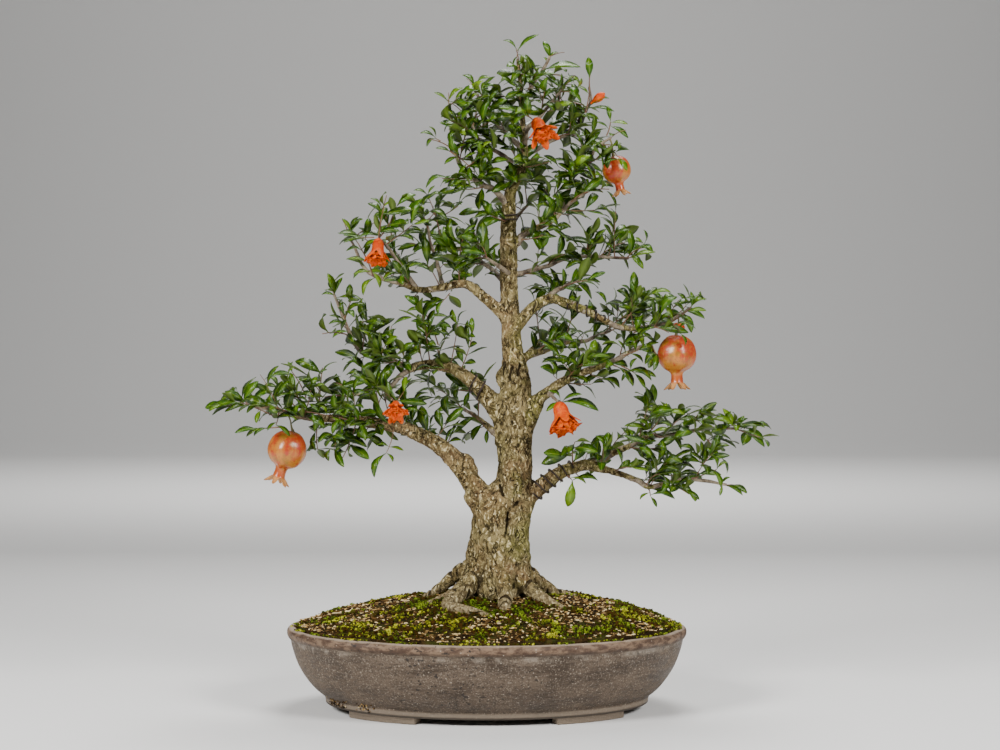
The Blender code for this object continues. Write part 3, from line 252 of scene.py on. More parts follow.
def point_on(route: np.ndarray, share: float) -> tuple[Vector, Vector, float]:
    """Position, direction and radius at a share of a route's length.

    Args:
        route: Rows of (x, y, z, radius).
        share: From 0 at its start to 1 at its end.

    Returns:
        The place, the unit direction and the radius.
    """
    spans = np.linalg.norm(np.diff(route[:, :3], axis=0), axis=1)
    left = share * spans.sum()
    i = 0
    while i < len(spans) - 1 and left > spans[i]:
        left -= spans[i]
        i += 1
    here = route[i] + (route[i + 1] - route[i]) * min(1.0, left / spans[i])
    ahead = Vector(route[i + 1][:3] - route[i][:3]).normalized()
    return Vector(here[:3]), ahead, float(here[3])


def radial(along: Vector, angle: float) -> Vector:
    """A unit vector square to a direction, at an angle round it."""
    side = along.cross(UP)
    if side.length < 0.2:
        side = along.cross(BACK)
    return Matrix.Rotation(angle, 3, along) @ side.normalized()


def finder(points: Sequence[Vector]) -> kdtree.KDTree:
    """A finder of the nearest of some points.

    Args:
        points: The points, which are found by their numbers.

    Returns:
        The tree that finds them.
    """
    tree = kdtree.KDTree(len(points))
    for number, point in enumerate(points):
        tree.insert(point, number)
    tree.balance()
    return tree


# Node sheets, shared effects and finishes


class Sheet:
    """A node tree with short calls for the nodes that the finishes are drawn with."""

    def __init__(self, tree: bpy.types.NodeTree) -> None:
        """Keeps the tree."""
        self.tree = tree

    def node(self, kind: str, feeds: dict[str | int, object], **settings: object) -> Node:
        """Adds a node.

        Args:
            kind: Blender's name of the node type, without its first two words.
            feeds: What each input gets: a socket or a plain value.
            settings: The node's own settings.

        Returns:
            The new node.
        """
        made = self.tree.nodes.new(f"ShaderNode{kind}")
        for name, value in settings.items():
            setattr(made, name, value)
        for key, value in feeds.items():
            self.feed(made.inputs[key], value)
        return made

    def feed(self, socket: Socket, value: object) -> None:
        """Links a socket to an input, or sets its plain value.

        Args:
            socket: The input.
            value: A socket, a number, a vector, or a colour without its alpha.
        """
        if isinstance(value, Socket):
            self.tree.links.new(value, socket)
        elif isinstance(value, tuple) and socket.type == "RGBA":
            socket.default_value = (*value, 1.0)
        else:
            socket.default_value = value

    def place(self) -> Socket:
        """The place in the shared frame."""
        return self.node("TexCoord", {}).outputs["Object"]

    def attribute(self, name: str) -> Socket:
        """A number that the mesh carries."""
        return self.node("Attribute", {}, attribute_name=name).outputs["Fac"]

    def scaled(self, vector: Socket, tall: float, wide: float = 1.0) -> Socket:
        """Coordinates stretched along z, and along x and y alike."""
        return self.node("Mapping", {"Vector": vector, "Scale": (wide, wide, tall)}).outputs["Vector"]

    def axis(self, vector: Socket, name: str) -> Socket:
        """A vector's X, Y or Z."""
        return self.node("SeparateXYZ", {"Vector": vector}).outputs[name]

    def noise(self, vector: Socket, scale: object, detail: float = 3.0, rough: float = 0.55,
              output: str = "Fac") -> Socket:
        """Cloudy values round one half, or cloudy colours."""
        feeds = {"Vector": vector, "Scale": scale, "Detail": detail, "Roughness": rough}
        return self.node("TexNoise", feeds).outputs[output]

    def mask(self, value: Socket, low: float, high: float, most: float = 1.0, least: float = 0.0,
             curve: str = "SMOOTHSTEP") -> Socket:
        """A step of a value from low to high, which gives from least to most."""
        feeds = {"Value": value, "From Min": low, "From Max": high, "To Min": least, "To Max": most}
        return self.node("MapRange", feeds, interpolation_type=curve).outputs["Result"]

    def math(self, operation: str, first: object, second: object = 0.0) -> Socket:
        """Works out one sum on values."""
        return self.node("Math", {0: first, 1: second}, operation=operation).outputs[0]

    def plus(self, first: object, second: object) -> Socket:
        """Adds two values."""
        return self.math("ADD", first, second)

    def times(self, first: object, *others: object) -> Socket:
        """Multiplies values."""
        for other in others:
            first = self.math("MULTIPLY", first, other)
        return first

    def mix(self, share: object, first: object, second: object) -> Socket:
        """Blends two colours."""
        return self.node("Mix", {0: share, 6: first, 7: second}, data_type="RGBA").outputs[2]

    def coats(self, colour: object, *coats: tuple[object, object]) -> Socket:
        """Lays coats over a colour, each given as its mask and its own colour."""
        for share, coat in coats:
            colour = self.mix(share, colour, coat)
        return colour

    def bump(self, height: Socket, distance: float, strength: float, under: Socket | None = None) -> Socket:
        """Turns a height into a normal.

        Args:
            height: The height, from 0 to 1.
            distance: How far 1 stands out, in metres.
            strength: How much of it shows.
            under: A normal that it is laid over.

        Returns:
            The bumped normal.
        """
        feeds = {"Height": height, "Distance": distance, "Strength": strength}
        if under is not None:
            feeds["Normal"] = under
        return self.node("Bump", feeds).outputs["Normal"]

    def shared(self, group: bpy.types.NodeTree, **values: object) -> Node:
        """Places a shared effect with its own values.

        Args:
            group: The effect.
            values: Its inputs by their names in small letters.

        Returns:
            The effect's node.
        """
        made = self.tree.nodes.new("ShaderNodeGroup")
        made.node_tree = group
        for name, value in values.items():
            self.feed(made.inputs[name.capitalize()], value)
        return made

    def specks(self, vector: Socket, scale: float, share: float) -> Socket:
        """The mask of scattered specks."""
        return self.shared(speckling(), vector=vector, scale=scale, share=share).outputs["Mask"]

    def grain(self, vector: Socket, scale: float) -> Socket:
        """The height of fine uneven relief."""
        return self.shared(graining(), vector=vector, scale=scale).outputs["Height"]

    def paint(self, shader: Node, colour: Socket, normal: Socket | None = None,
              roughness: Socket | None = None) -> None:
        """Feeds a shader all that varies over the surface."""
        for name, value in (("Base Color", colour), ("Normal", normal), ("Roughness", roughness)):
            if value is not None:
                self.feed(shader.inputs[name], value)


def effect(name: str, takes: dict[str, str], gives: dict[str, str],
           draw: Callable[[Sheet, Node, Node], None]) -> bpy.types.NodeTree:
    """Makes a shared effect once.

    Args:
        name: The group's name.
        takes: Its inputs and their kinds.
        gives: Its outputs and their kinds.
        draw: Fills the group, given its sheet, its input node and its output node.

    Returns:
        The node group.
    """
    found = bpy.data.node_groups.get(name)
    if found:
        return found
    group = bpy.data.node_groups.new(name, "ShaderNodeTree")
    for side, sockets in (("INPUT", takes), ("OUTPUT", gives)):
        for label, kind in sockets.items():
            group.interface.new_socket(label, in_out=side, socket_type=f"NodeSocket{kind}")
    draw(Sheet(group), group.nodes.new("NodeGroupInput"), group.nodes.new("NodeGroupOutput"))
    return group


def mottling() -> bpy.types.NodeTree:
    """Two colours that cloud into each other, with a finer grain over them."""
    def draw(sheet: Sheet, given: Node, result: Node) -> None:
        """Mixes broad and fine clouds.

        Args:
            sheet: The group's sheet.
            given: Its input node.
            result: Its output node.
        """
        place, scale, dark, light = (given.outputs[name] for name in ("Vector", "Scale", "Dark", "Light"))
        broad = sheet.times(sheet.noise(place, scale, 4.0, 0.5), 0.65)
        fine = sheet.times(sheet.noise(place, sheet.times(scale, 6.0), 3.0, 0.5), 0.35)
        share = sheet.mask(sheet.plus(broad, fine), 0.38, 0.62)
        sheet.feed(result.inputs["Mask"], share)
        sheet.feed(result.inputs["Colour"], sheet.mix(share, dark, light))
    return effect("mottling", {"Vector": "Vector", "Scale": "Float", "Dark": "Color", "Light": "Color"},
                  {"Colour": "Color", "Mask": "Float"}, draw)


def speckling() -> bpy.types.NodeTree:
    """Scattered round specks, of which only a share is shown."""
    def draw(sheet: Sheet, given: Node, result: Node) -> None:
        """Keeps the dots whose cell draws a number below the share.

        Args:
            sheet: The group's sheet.
            given: Its input node.
            result: Its output node.
        """
        place, scale, share = (given.outputs[name] for name in ("Vector", "Scale", "Share"))
        cell = sheet.node("TexVoronoi", {"Vector": place, "Scale": scale})
        dot = sheet.mask(cell.outputs["Distance"], 0.34, 0.22, curve="LINEAR")
        kept = sheet.math("LESS_THAN", sheet.axis(cell.outputs["Color"], "X"), share)
        sheet.feed(result.inputs["Mask"], sheet.times(dot, kept))
    return effect("speckling", {"Vector": "Vector", "Scale": "Float", "Share": "Float"},
                  {"Mask": "Float"}, draw)


def graining() -> bpy.types.NodeTree:
    """Fine uneven relief for clay, bark and skin."""
    def draw(sheet: Sheet, given: Node, result: Node) -> None:
        """Adds a rough noise and pits.

        Args:
            sheet: The group's sheet.
            given: Its input node.
            result: Its output node.
        """
        place, scale = given.outputs["Vector"], given.outputs["Scale"]
        pits = sheet.node("TexVoronoi", {"Vector": place, "Scale": scale}).outputs["Distance"]
        height = sheet.plus(sheet.noise(place, scale, 5.0, 0.65), sheet.times(pits, 0.4))
        sheet.feed(result.inputs["Height"], height)
    return effect("graining", {"Vector": "Vector", "Scale": "Float"}, {"Height": "Float"}, draw)


@dataclass(frozen=True)
class Finish:
    """What every finish has: its name, and its shader's plain numbers."""

    name: str
    roughness: float = 0.6
    metallic: float = 0.0
    specular: float = 0.5

    def material(self) -> bpy.types.Material:
        """The finish as a material, made once."""
        found = bpy.data.materials.get(self.name)
        if found:
            return found
        made = bpy.data.materials.new(self.name)
        made.use_nodes = True
        shader = made.node_tree.nodes["Principled BSDF"]
        shader.inputs["Roughness"].default_value = self.roughness
        shader.inputs["Metallic"].default_value = self.metallic
        shader.inputs["Specular IOR Level"].default_value = self.specular
        self.draw(Sheet(made.node_tree), shader)
        return made

    def draw(self, sheet: Sheet, shader: Node) -> None:
        """Adds the finish's own nodes; each finish has its own.

        Args:
            sheet: The material's sheet.
            shader: Its Principled BSDF.
        """
        raise NotImplementedError


@dataclass(frozen=True)
class ClayFinish(Finish):
    """Unglazed grey-brown stoneware with dark specks, a paler warm rim and a mineral line under it, with a
    painted highlight on the lip's crest, painted shade under the lip and where the band meets the feet, and
    painted light on the foot.
    """

    name: str = "fired_clay"
    roughness: float = 0.62
    specular: float = 0.35
    body_dark: Rgb = (0.038, 0.023, 0.012)
    body_light: Rgb = (0.114, 0.082, 0.056)
    rim_dark: Rgb = (0.052, 0.026, 0.014)
    rim_light: Rgb = (0.185, 0.120, 0.075)
    # Painted highlight on the lip's crest, over a little wear.
    crest_highlight: Rgb = (0.400, 0.310, 0.230)
    # Painted light on the foot band and the feet.
    base: Rgb = (0.210, 0.165, 0.120)
    mineral: Rgb = (0.400, 0.340, 0.270)
    # Dark pits in the clay, also used for the painted shade under the lip.
    pit_and_shade: Rgb = (0.036, 0.024, 0.016)
    # Dark specks and chips, also used for the painted shade where the band meets the feet.
    speck: Rgb = (0.010, 0.007, 0.005)
    stain_x: float = -0.038

    def draw(self, sheet: Sheet, shader: Node) -> None:
        """Lays mottled and brushed clay, the rim with a painted highlight on its crest and painted shade
        under it, the mineral line, stains, painted light on the foot and painted shade in the groove where
        the band meets the feet, one over another.

        Args:
            sheet: The material's sheet.
            shader: Its Principled BSDF.
        """
        place = sheet.place()
        height = sheet.axis(place, "Z")
        wide = sheet.scaled(place, 2.6)
        clay = sheet.shared(mottling(), vector=wide, scale=26.0, dark=self.body_dark, light=self.body_light)
        wander = sheet.plus(height, sheet.times(sheet.noise(place, 40.0), 0.0024))
        brushed = sheet.noise(sheet.scaled(place, 1.0, 0.12), 520.0, 3.0, 0.7)
        blotch = sheet.noise(sheet.scaled(place, 1.0, 0.5), 170.0, 5.0, 0.7)
        edge = sheet.coats(self.rim_dark, (sheet.mask(blotch, 0.40, 0.62, 1.0, 0.05), self.rim_light),
                           # Painted highlight along the lip's crest, over a little wear.
                           (sheet.mask(wander, 0.0812, 0.0827, 0.72), self.crest_highlight),
                           # Painted shade on the underside of the rolled lip.
                           (sheet.mask(wander, 0.0768, 0.0740, 0.50), self.pit_and_shade))
        patchy = sheet.mask(sheet.noise(place, 55.0, 5.0, 0.65), 0.44, 0.62)
        line = sheet.times(sheet.mask(wander, 0.0650, 0.0700), sheet.mask(wander, 0.0732, 0.0718), patchy)
        aside = sheet.math("ABSOLUTE", sheet.plus(sheet.axis(place, "X"), -self.stain_x))
        front = sheet.math("LESS_THAN", sheet.axis(place, "Y"), 0.0)
        crowd = sheet.math("MAXIMUM", sheet.mask(sheet.noise(place, 18.0), 0.50, 0.64, 0.8),
                           sheet.times(sheet.mask(aside, 0.080, 0.025), front))
        pits = sheet.noise(sheet.scaled(place, 1.4), 560.0, 2.0)
        chips = sheet.mask(sheet.noise(sheet.scaled(place, 1.5), 165.0, 3.0), 0.62, 0.645)
        # Painted shade in the groove where the foot band meets the feet.
        groove = sheet.times(sheet.mask(height, 0.0058, 0.0068), sheet.mask(height, 0.0092, 0.0078))
        colour = sheet.coats(clay.outputs["Colour"],
                             (sheet.mask(brushed, 0.46, 0.66, 0.50), self.body_light),
                             (sheet.mask(brushed, 0.46, 0.30, 0.45), self.body_dark),
                             (sheet.mask(sheet.noise(place, 640.0, 2.0), 0.54, 0.68, 0.34), self.mineral),
                             (sheet.mask(pits, 0.46, 0.33, 0.78), self.pit_and_shade),
                             (sheet.mask(wander, 0.0722, 0.0738), edge),
                             (sheet.times(line, 0.36), self.mineral),
                             (sheet.times(sheet.specks(place, 430.0, 0.07), 0.6), self.mineral),
                             (sheet.times(sheet.specks(place, 330.0, 0.10), crowd, 0.9), self.speck),
                             (sheet.times(chips, crowd, 0.85), self.speck),
                             # Painted light: the foot band and the feet are paler.
                             (sheet.mask(wander, 0.0150, 0.0125, 0.75), self.base),
                             # Painted shade along the groove above the feet.
                             (sheet.times(groove, 0.75), self.speck))
        normal = sheet.bump(sheet.grain(wide, 160.0), 0.0012, 0.55)
        normal = sheet.bump(brushed, 0.0008, 0.4, normal)
        normal = sheet.bump(sheet.grain(place, 700.0), 0.0005, 0.5, normal)
        sheet.paint(shader, colour, normal, sheet.mask(clay.outputs["Mask"], 0.0, 1.0, 0.74, 0.50))


@dataclass(frozen=True)
class BarkFinish(Finish):
    """Old flaky bark: beige plates with dark cracks that are partly the bark's own colour and partly painted
    shade, greener on one side, greyer on the roots.
    """

    name: str = "old_bark"
    roughness: float = 0.88
    specular: float = 0.12
    # Dark cracks: partly the bark's own colour, partly painted shade in cracks, creases and hollows.
    crack: Rgb = (0.012, 0.007, 0.002)
    plate_dark: Rgb = (0.058, 0.035, 0.010)
    plate_light: Rgb = (0.370, 0.288, 0.128)
    tip: Rgb = (0.720, 0.600, 0.330)
    warm: Rgb = (0.270, 0.165, 0.078)
    moss: Rgb = (0.200, 0.195, 0.045)
    root_dark: Rgb = (0.085, 0.055, 0.024)
    root_light: Rgb = (0.430, 0.340, 0.190)
    drift: Triple = (0.012, 0.012, 0.012)

    def draw(self, sheet: Sheet, shader: Node) -> None:
        """Colours the plates by their height, and darkens the cracks by the mesh's own relief, partly as
        their own dark colour and partly as painted shade.

        Args:
            sheet: The material's sheet.
            shader: Its Principled BSDF.
        """
        place, root = sheet.place(), sheet.attribute("root")
        cloud = sheet.noise(place, 90.0, 2.0, 0.5, "Color")
        bent = sheet.node("VectorMath", {0: cloud, 1: self.drift, 2: place},
                          operation="MULTIPLY_ADD").outputs[0]
        tall = sheet.scaled(bent, 0.36)
        fibre = sheet.noise(tall, 250.0, 5.0, 0.75)
        chips = sheet.noise(tall, 430.0, 3.0, 0.6)
        broad = sheet.math("SUBTRACT", sheet.noise(place, 55.0), 0.5)
        shade = sheet.plus(fibre, sheet.times(broad, 0.45))
        side = sheet.times(sheet.mask(sheet.axis(place, "X"), 0.008, 0.036, 0.65, 0.15),
                           sheet.mask(root, 1.0, 0.0, 1.0, 0.25))
        algae = sheet.mask(sheet.noise(place, 34.0, 4.0), 0.40, 0.62)
        grey = sheet.mix(sheet.mask(sheet.noise(place, 300.0, 4.0, 0.7), 0.36, 0.64),
                         self.root_dark, self.root_light)
        long = self.squiggle(sheet, tall, 150.0, 0.040)
        short = sheet.times(self.squiggle(sheet, bent, 310.0, 0.045), sheet.mask(chips, 0.55, 0.42))
        dark = sheet.math("MAXIMUM", sheet.times(long, 0.9), sheet.times(short, 0.7))
        dark = sheet.times(dark, sheet.mask(sheet.noise(place, 70.0, 2.0), 0.38, 0.58, 1.0, 0.30),
                           sheet.mask(root, 1.0, 0.0, 1.0, 0.20))
        # The cracks' own dark colour together with painted shade: darker along the sunken crack lines and
        # where the relief level is low, in cracks, root creases and hollows.
        cracks = sheet.math("MAXIMUM", dark, sheet.mask(sheet.attribute("relief"), 0.32, 0.02, 0.9))
        colour = sheet.coats(self.plate_dark, (sheet.mask(shade, 0.36, 0.62), self.plate_light),
                             (sheet.mask(sheet.noise(place, 24.0), 0.47, 0.64, 0.6), self.warm),
                             (sheet.times(algae, side), self.moss),
                             (sheet.times(root, 0.85), grey),
                             (sheet.mask(chips, 0.55, 0.67, 0.9), self.tip),
                             (cracks, self.crack))
        rise = sheet.math("SUBTRACT", sheet.plus(fibre, sheet.times(chips, 0.6)), cracks)
        normal = sheet.bump(rise, 0.0038, 0.95)
        sheet.paint(shader, colour, sheet.bump(sheet.grain(tall, 900.0), 0.0008, 0.6, normal))

    def squiggle(self, sheet: Sheet, vector: Socket, scale: float, width: float) -> Socket:
        """Thin wandering lines where a noise crosses its middle."""
        middle = sheet.math("ABSOLUTE", sheet.math("SUBTRACT", sheet.noise(vector, scale, 2.0), 0.5))
        return sheet.mask(middle, width, width * 0.2)


@dataclass(frozen=True)
class LeafFinish(Finish):
    """Glossy blades, dark above and paler below, with a light midrib."""

    name: str = "pomegranate_leaf"
    roughness: float = 0.2
    specular: float = 0.38
    old: Rgb = (0.009, 0.036, 0.001)
    ripe: Rgb = (0.031, 0.097, 0.001)
    young: Rgb = (0.158, 0.268, 0.004)
    under: Rgb = (0.100, 0.150, 0.018)
    rib: Rgb = (0.190, 0.240, 0.020)

    def draw(self, sheet: Sheet, shader: Node) -> None:
        """Colours each blade by its own tint, its side and the place across it.

        Args:
            sheet: The material's sheet.
            shader: Its Principled BSDF.
        """
        tint = sheet.attribute("tint")
        blade = sheet.node("UVMap", {}, uv_map="blade").outputs["UV"]
        across = sheet.axis(blade, "X")
        below = sheet.math("GREATER_THAN", across, 1.5)
        offset = sheet.math("ABSOLUTE", sheet.math("SUBTRACT", sheet.math("FRACT", across), 0.5))
        veins = sheet.math("SINE", sheet.times(sheet.plus(sheet.axis(blade, "Y"), offset), 62.0))
        cloud = sheet.noise(sheet.place(), 160.0)
        colour = sheet.coats(self.old, (sheet.mask(tint, 0.0, 0.6), self.ripe),
                             (sheet.mask(tint, 0.62, 1.0), self.young),
                             (sheet.mask(cloud, 0.38, 0.72, 0.30), self.young),
                             (sheet.mask(veins, 0.5, 1.0, 0.10), self.rib),
                             (sheet.mask(offset, 0.07, 0.015, 0.45), self.rib),
                             (sheet.times(below, 0.75), self.under))
        normal = sheet.bump(sheet.mask(veins, -1.0, 1.0), 0.0002, 0.5)
        sheet.paint(shader, colour, normal, sheet.plus(sheet.times(below, 0.25), 0.18))


@dataclass(frozen=True)
class SoilFinish(Finish):
    """Damp dark soil between the moss and the grit."""

    name: str = "damp_soil"
    roughness: float = 0.95
    specular: float = 0.1
    dark: Rgb = (0.010, 0.006, 0.002)
    light: Rgb = (0.048, 0.026, 0.007)
    moss: Rgb = (0.034, 0.040, 0.006)

    def draw(self, sheet: Sheet, shader: Node) -> None:
        """Crumbs with a film of moss.

        Args:
            sheet: The material's sheet.
            shader: Its Principled BSDF.
        """
        place = sheet.place()
        crumbs = sheet.shared(mottling(), vector=place, scale=150.0, dark=self.dark, light=self.light)
        film = sheet.mask(sheet.noise(place, 42.0, 4.0), 0.48, 0.62, 0.7)
        normal = sheet.bump(sheet.grain(place, 420.0), 0.0015, 0.9)
        sheet.paint(shader, sheet.mix(film, crumbs.outputs["Colour"], self.moss), normal)


@dataclass(frozen=True)
class MossFinish(Finish):
    """Moss tufts, each with its own tint from dark green to yellow-green."""

    name: str = "moss"
    roughness: float = 0.8
    specular: float = 0.1
    brown: Rgb = (0.045, 0.020, 0.001)
    dark: Rgb = (0.016, 0.026, 0.001)
    bright: Rgb = (0.450, 0.440, 0.030)
    fresh: Rgb = (0.165, 0.250, 0.012)
    fresh_middle: Triple = (0.020, -0.035, 0.100)

    def draw(self, sheet: Sheet, shader: Node) -> None:
        """Goes from withered brown through green to yellow-green by the tuft's tint and a fine cloud.

        Args:
            sheet: The material's sheet.
            shader: Its Principled BSDF.
        """
        place = sheet.place()
        cloud = sheet.math("SUBTRACT", sheet.noise(place, 850.0, 2.0), 0.5)
        share = sheet.plus(sheet.times(sheet.attribute("tint"), 0.85), sheet.times(cloud, 1.3))
        away = sheet.node("VectorMath", {0: place, 1: self.fresh_middle}, operation="DISTANCE")
        inner = sheet.math("MAXIMUM", sheet.mask(away.outputs["Value"], 0.075, 0.035),
                           sheet.mask(sheet.noise(place, 26.0), 0.48, 0.60, 0.85))
        top = sheet.mix(inner, self.bright, self.fresh)
        sheet.paint(shader, sheet.coats(self.brown, (sheet.mask(share, 0.06, 0.26), self.dark),
                                        (sheet.mask(share, 0.26, 0.85), top)))


@dataclass(frozen=True)
class GritFinish(Finish):
    """Loose grains from dark brown to nearly white."""

    name: str = "grit"
    roughness: float = 0.85
    specular: float = 0.15
    dark: Rgb = (0.010, 0.004, 0.001)
    brown: Rgb = (0.110, 0.056, 0.014)
    tan: Rgb = (0.380, 0.240, 0.085)
    pale: Rgb = (0.800, 0.640, 0.350)

    def draw(self, sheet: Sheet, shader: Node) -> None:
        """Colours each grain by its own tint.

        Args:
            sheet: The material's sheet.
            shader: Its Principled BSDF.
        """
        tint = sheet.attribute("tint")
        colour = sheet.coats(self.dark, (sheet.mask(tint, 0.0, 0.45), self.brown),
                             (sheet.mask(tint, 0.48, 0.62), self.tan),
                             (sheet.mask(tint, 0.74, 0.92), self.pale))
        sheet.paint(shader, colour, sheet.bump(sheet.grain(sheet.place(), 900.0), 0.0004, 0.7))


@dataclass(frozen=True)
class FruitFinish(Finish):
    """Waxy fruit skin from yellow to red, with specks, a blush and a tan crown."""

    name: str = "ripe_fruit"
    roughness: float = 0.26
    yellow: Rgb = (0.440, 0.165, 0.020)
    red: Rgb = (0.360, 0.034, 0.010)
    olive: Rgb = (0.210, 0.130, 0.014)
    speck: Rgb = (0.180, 0.055, 0.020)
    crown: Rgb = (0.520, 0.270, 0.090)

    def draw(self, sheet: Sheet, shader: Node) -> None:
        """Blushes the skin in streaks from stalk to crown.

        Args:
            sheet: The material's sheet.
            shader: Its Principled BSDF.
        """
        place, height = sheet.place(), sheet.attribute("height")
        streaks = sheet.noise(sheet.scaled(place, 0.3), 90.0, 6.0, 0.68)
        blush = sheet.mask(sheet.plus(streaks, sheet.times(height, -0.05)), 0.38, 0.55)
        patches = sheet.noise(place, 75.0, 5.0, 0.7)
        colour = sheet.coats(self.yellow, (blush, self.red),
                             (sheet.mask(patches, 0.50, 0.66, 0.70), self.olive),
                             (sheet.mask(sheet.noise(place, 420.0, 4.0), 0.50, 0.64, 0.42), self.yellow),
                             (sheet.times(sheet.specks(place, 480.0, 0.4), 0.6), self.speck),
                             (sheet.mask(height, 0.95, 1.20, 0.6), self.red),
                             (sheet.mask(height, 1.40, 1.58, 0.8), self.crown),
                             (sheet.mask(height, 1.70, 1.95, 0.8), self.speck))
        sheet.paint(shader, colour, sheet.bump(sheet.grain(place, 500.0), 0.00025, 0.5))


@dataclass(frozen=True)
class PetalFinish(Finish):
    """Orange-red flower parts; tint 0 is the waxy calyx, and 1 is the thin petal."""

    name: str = "flower"
    roughness: float = 0.42
    specular: float = 0.12
    calyx: Rgb = (0.500, 0.042, 0.002)
    petal: Rgb = (0.640, 0.075, 0.003)
    tip: Rgb = (0.800, 0.170, 0.007)

    def draw(self, sheet: Sheet, shader: Node) -> None:
        """Shades from calyx to petal, with faint veins.

        Args:
            sheet: The material's sheet.
            shader: Its Principled BSDF.
        """
        place = sheet.place()
        cloud = sheet.mask(sheet.noise(place, 300.0, 4.0), 0.42, 0.70, 0.6)
        colour = sheet.coats(self.calyx, (sheet.attribute("tint"), self.petal), (cloud, self.tip))
        sheet.paint(shader, colour, sheet.bump(sheet.noise(place, 800.0), 0.0004, 0.5))


@dataclass(frozen=True)
class MottledFinish(Finish):
    """Two colours in small clouds.

    Attributes:
        dark: The darker colour.
        light: The lighter colour.
        scale: How fine the clouds are.
        rough: Roughness of the dark and of the light clouds, where they differ.
        grain: Scale, distance and strength of its relief, where it has any.
    """

    dark: Rgb = (0.0, 0.0, 0.0)
    light: Rgb = (1.0, 1.0, 1.0)
    scale: float = 170.0
    rough: Pair | None = None
    grain: Triple | None = None

    def draw(self, sheet: Sheet, shader: Node) -> None:
        """Mottles the surface and roughens it.

        Args:
            sheet: The material's sheet.
            shader: Its Principled BSDF.
        """
        place = sheet.place()
        clouds = sheet.shared(mottling(), vector=place, scale=self.scale, dark=self.dark, light=self.light)
        sheet.paint(shader, clouds.outputs["Colour"])
        if self.rough:
            dark, light = self.rough
            roughness = sheet.mask(clouds.outputs["Mask"], 0.0, 1.0, light, dark)
            sheet.feed(shader.inputs["Roughness"], roughness)
        if self.grain:
            scale, distance, strength = self.grain
            sheet.feed(shader.inputs["Normal"], sheet.bump(sheet.grain(place, scale), distance, strength))


@dataclass(frozen=True)
class TwigFinish(MottledFinish):
    """Thin bark of the young wood: grey-brown on limbs, red-brown on stems."""

    name: str = "limb_bark"
    roughness: float = 0.7
    dark: Rgb = (0.070, 0.045, 0.025)
    light: Rgb = (0.300, 0.240, 0.160)
    grain: Triple | None = (800.0, 0.0006, 0.8)


@dataclass(frozen=True)
class StamenFinish(MottledFinish):
    """Yellow anthers and pale filaments."""

    name: str = "stamens"
    roughness: float = 0.7
    dark: Rgb = (0.560, 0.210, 0.030)
    light: Rgb = (0.850, 0.480, 0.080)
    scale: float = 500.0


@dataclass(frozen=True)
class WireFinish(MottledFinish):
    """Training wire with a dark anodised coat, scuffed on its high spots."""

    name: str = "coated_wire"
    roughness: float = 0.45
    metallic: float = 0.6
    dark: Rgb = (0.014, 0.009, 0.006)
    light: Rgb = (0.055, 0.036, 0.024)
    scale: float = 260.0
    rough: Pair | None = (0.38, 0.6)


@dataclass(frozen=True)
class PlasticFinish(MottledFinish):
    """Black plastic of the drain screens, dusty with soil."""

    name: str = "screen_plastic"
    dark: Rgb = (0.016, 0.016, 0.016)
    light: Rgb = (0.070, 0.055, 0.040)
    scale: float = 120.0
    rough: Pair | None = (0.5, 0.8)


@dataclass(frozen=True)
class StudioFinish(Finish):
    """The plain pale floor."""

    name: str = "studio_floor"
    roughness: float = 0.9
    colour: Rgb = (0.80, 0.79, 0.77)

    def draw(self, sheet: Sheet, shader: Node) -> None:
        """One plain colour, set on the shader.

        Args:
            sheet: The material's sheet.
            shader: Its Principled BSDF.
        """
        sheet.feed(shader.inputs["Base Color"], self.colour)


# Meshes


def set_levels(bm: BMesh, name: str, value: Callable[[bmesh.types.BMVert], float]) -> None:
    """Writes one number to every vertex of a mesh in the making."""
    layer = bm.verts.layers.float.get(name) or bm.verts.layers.float.new(name)
    for vert in bm.verts:
        vert[layer] = value(vert)


def as_mesh(name: str, bm: BMesh) -> Mesh:
    """A mesh from one in the making, which is used up."""
    mesh = bpy.data.meshes.new(name)
    bm.to_mesh(mesh)
    bm.free()
    return mesh


def as_object(name: str, data: bpy.types.ID) -> bpy.types.Object:
    """A new object in the scene."""
    made = bpy.data.objects.new(name, data)
    bpy.context.scene.collection.objects.link(made)
    return made


def finished(name: str, bm: BMesh, finishes: Sequence[Finish], slot: str | None,
             replaces: Sequence[str] = (), recalc: bool = True, smooth: bool = True) -> None:
    """Turns a mesh into a piece that rides on the tree.

    Args:
        name: The piece's name.
        bm: Its mesh, in its place; it is used up.
        finishes: Its finishes, in the order of the faces' material numbers.
        slot: The record's material slot, which is not set here: any slot attaches the piece to the root body
            and hides what it replaces, and None, for the studio's own things, leaves it loose.
        replaces: The CAD nodes that it stands for.
        recalc: Whether the faces are turned outwards here.
        smooth: Whether it is shaded smooth.
    """
    if recalc:
        bmesh.ops.recalc_face_normals(bm, faces=bm.faces)
    mesh = as_mesh(name, bm)
    if smooth:
        mesh.shade_smooth()
    for finish in finishes:
        mesh.materials.append(finish.material())
    piece = as_object(name, mesh)
    if slot is None:
        return
    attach(piece, "root")
    if replaces:
        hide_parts(*replaces)
    LOG.info("%s: %d faces", name, len(mesh.polygons))


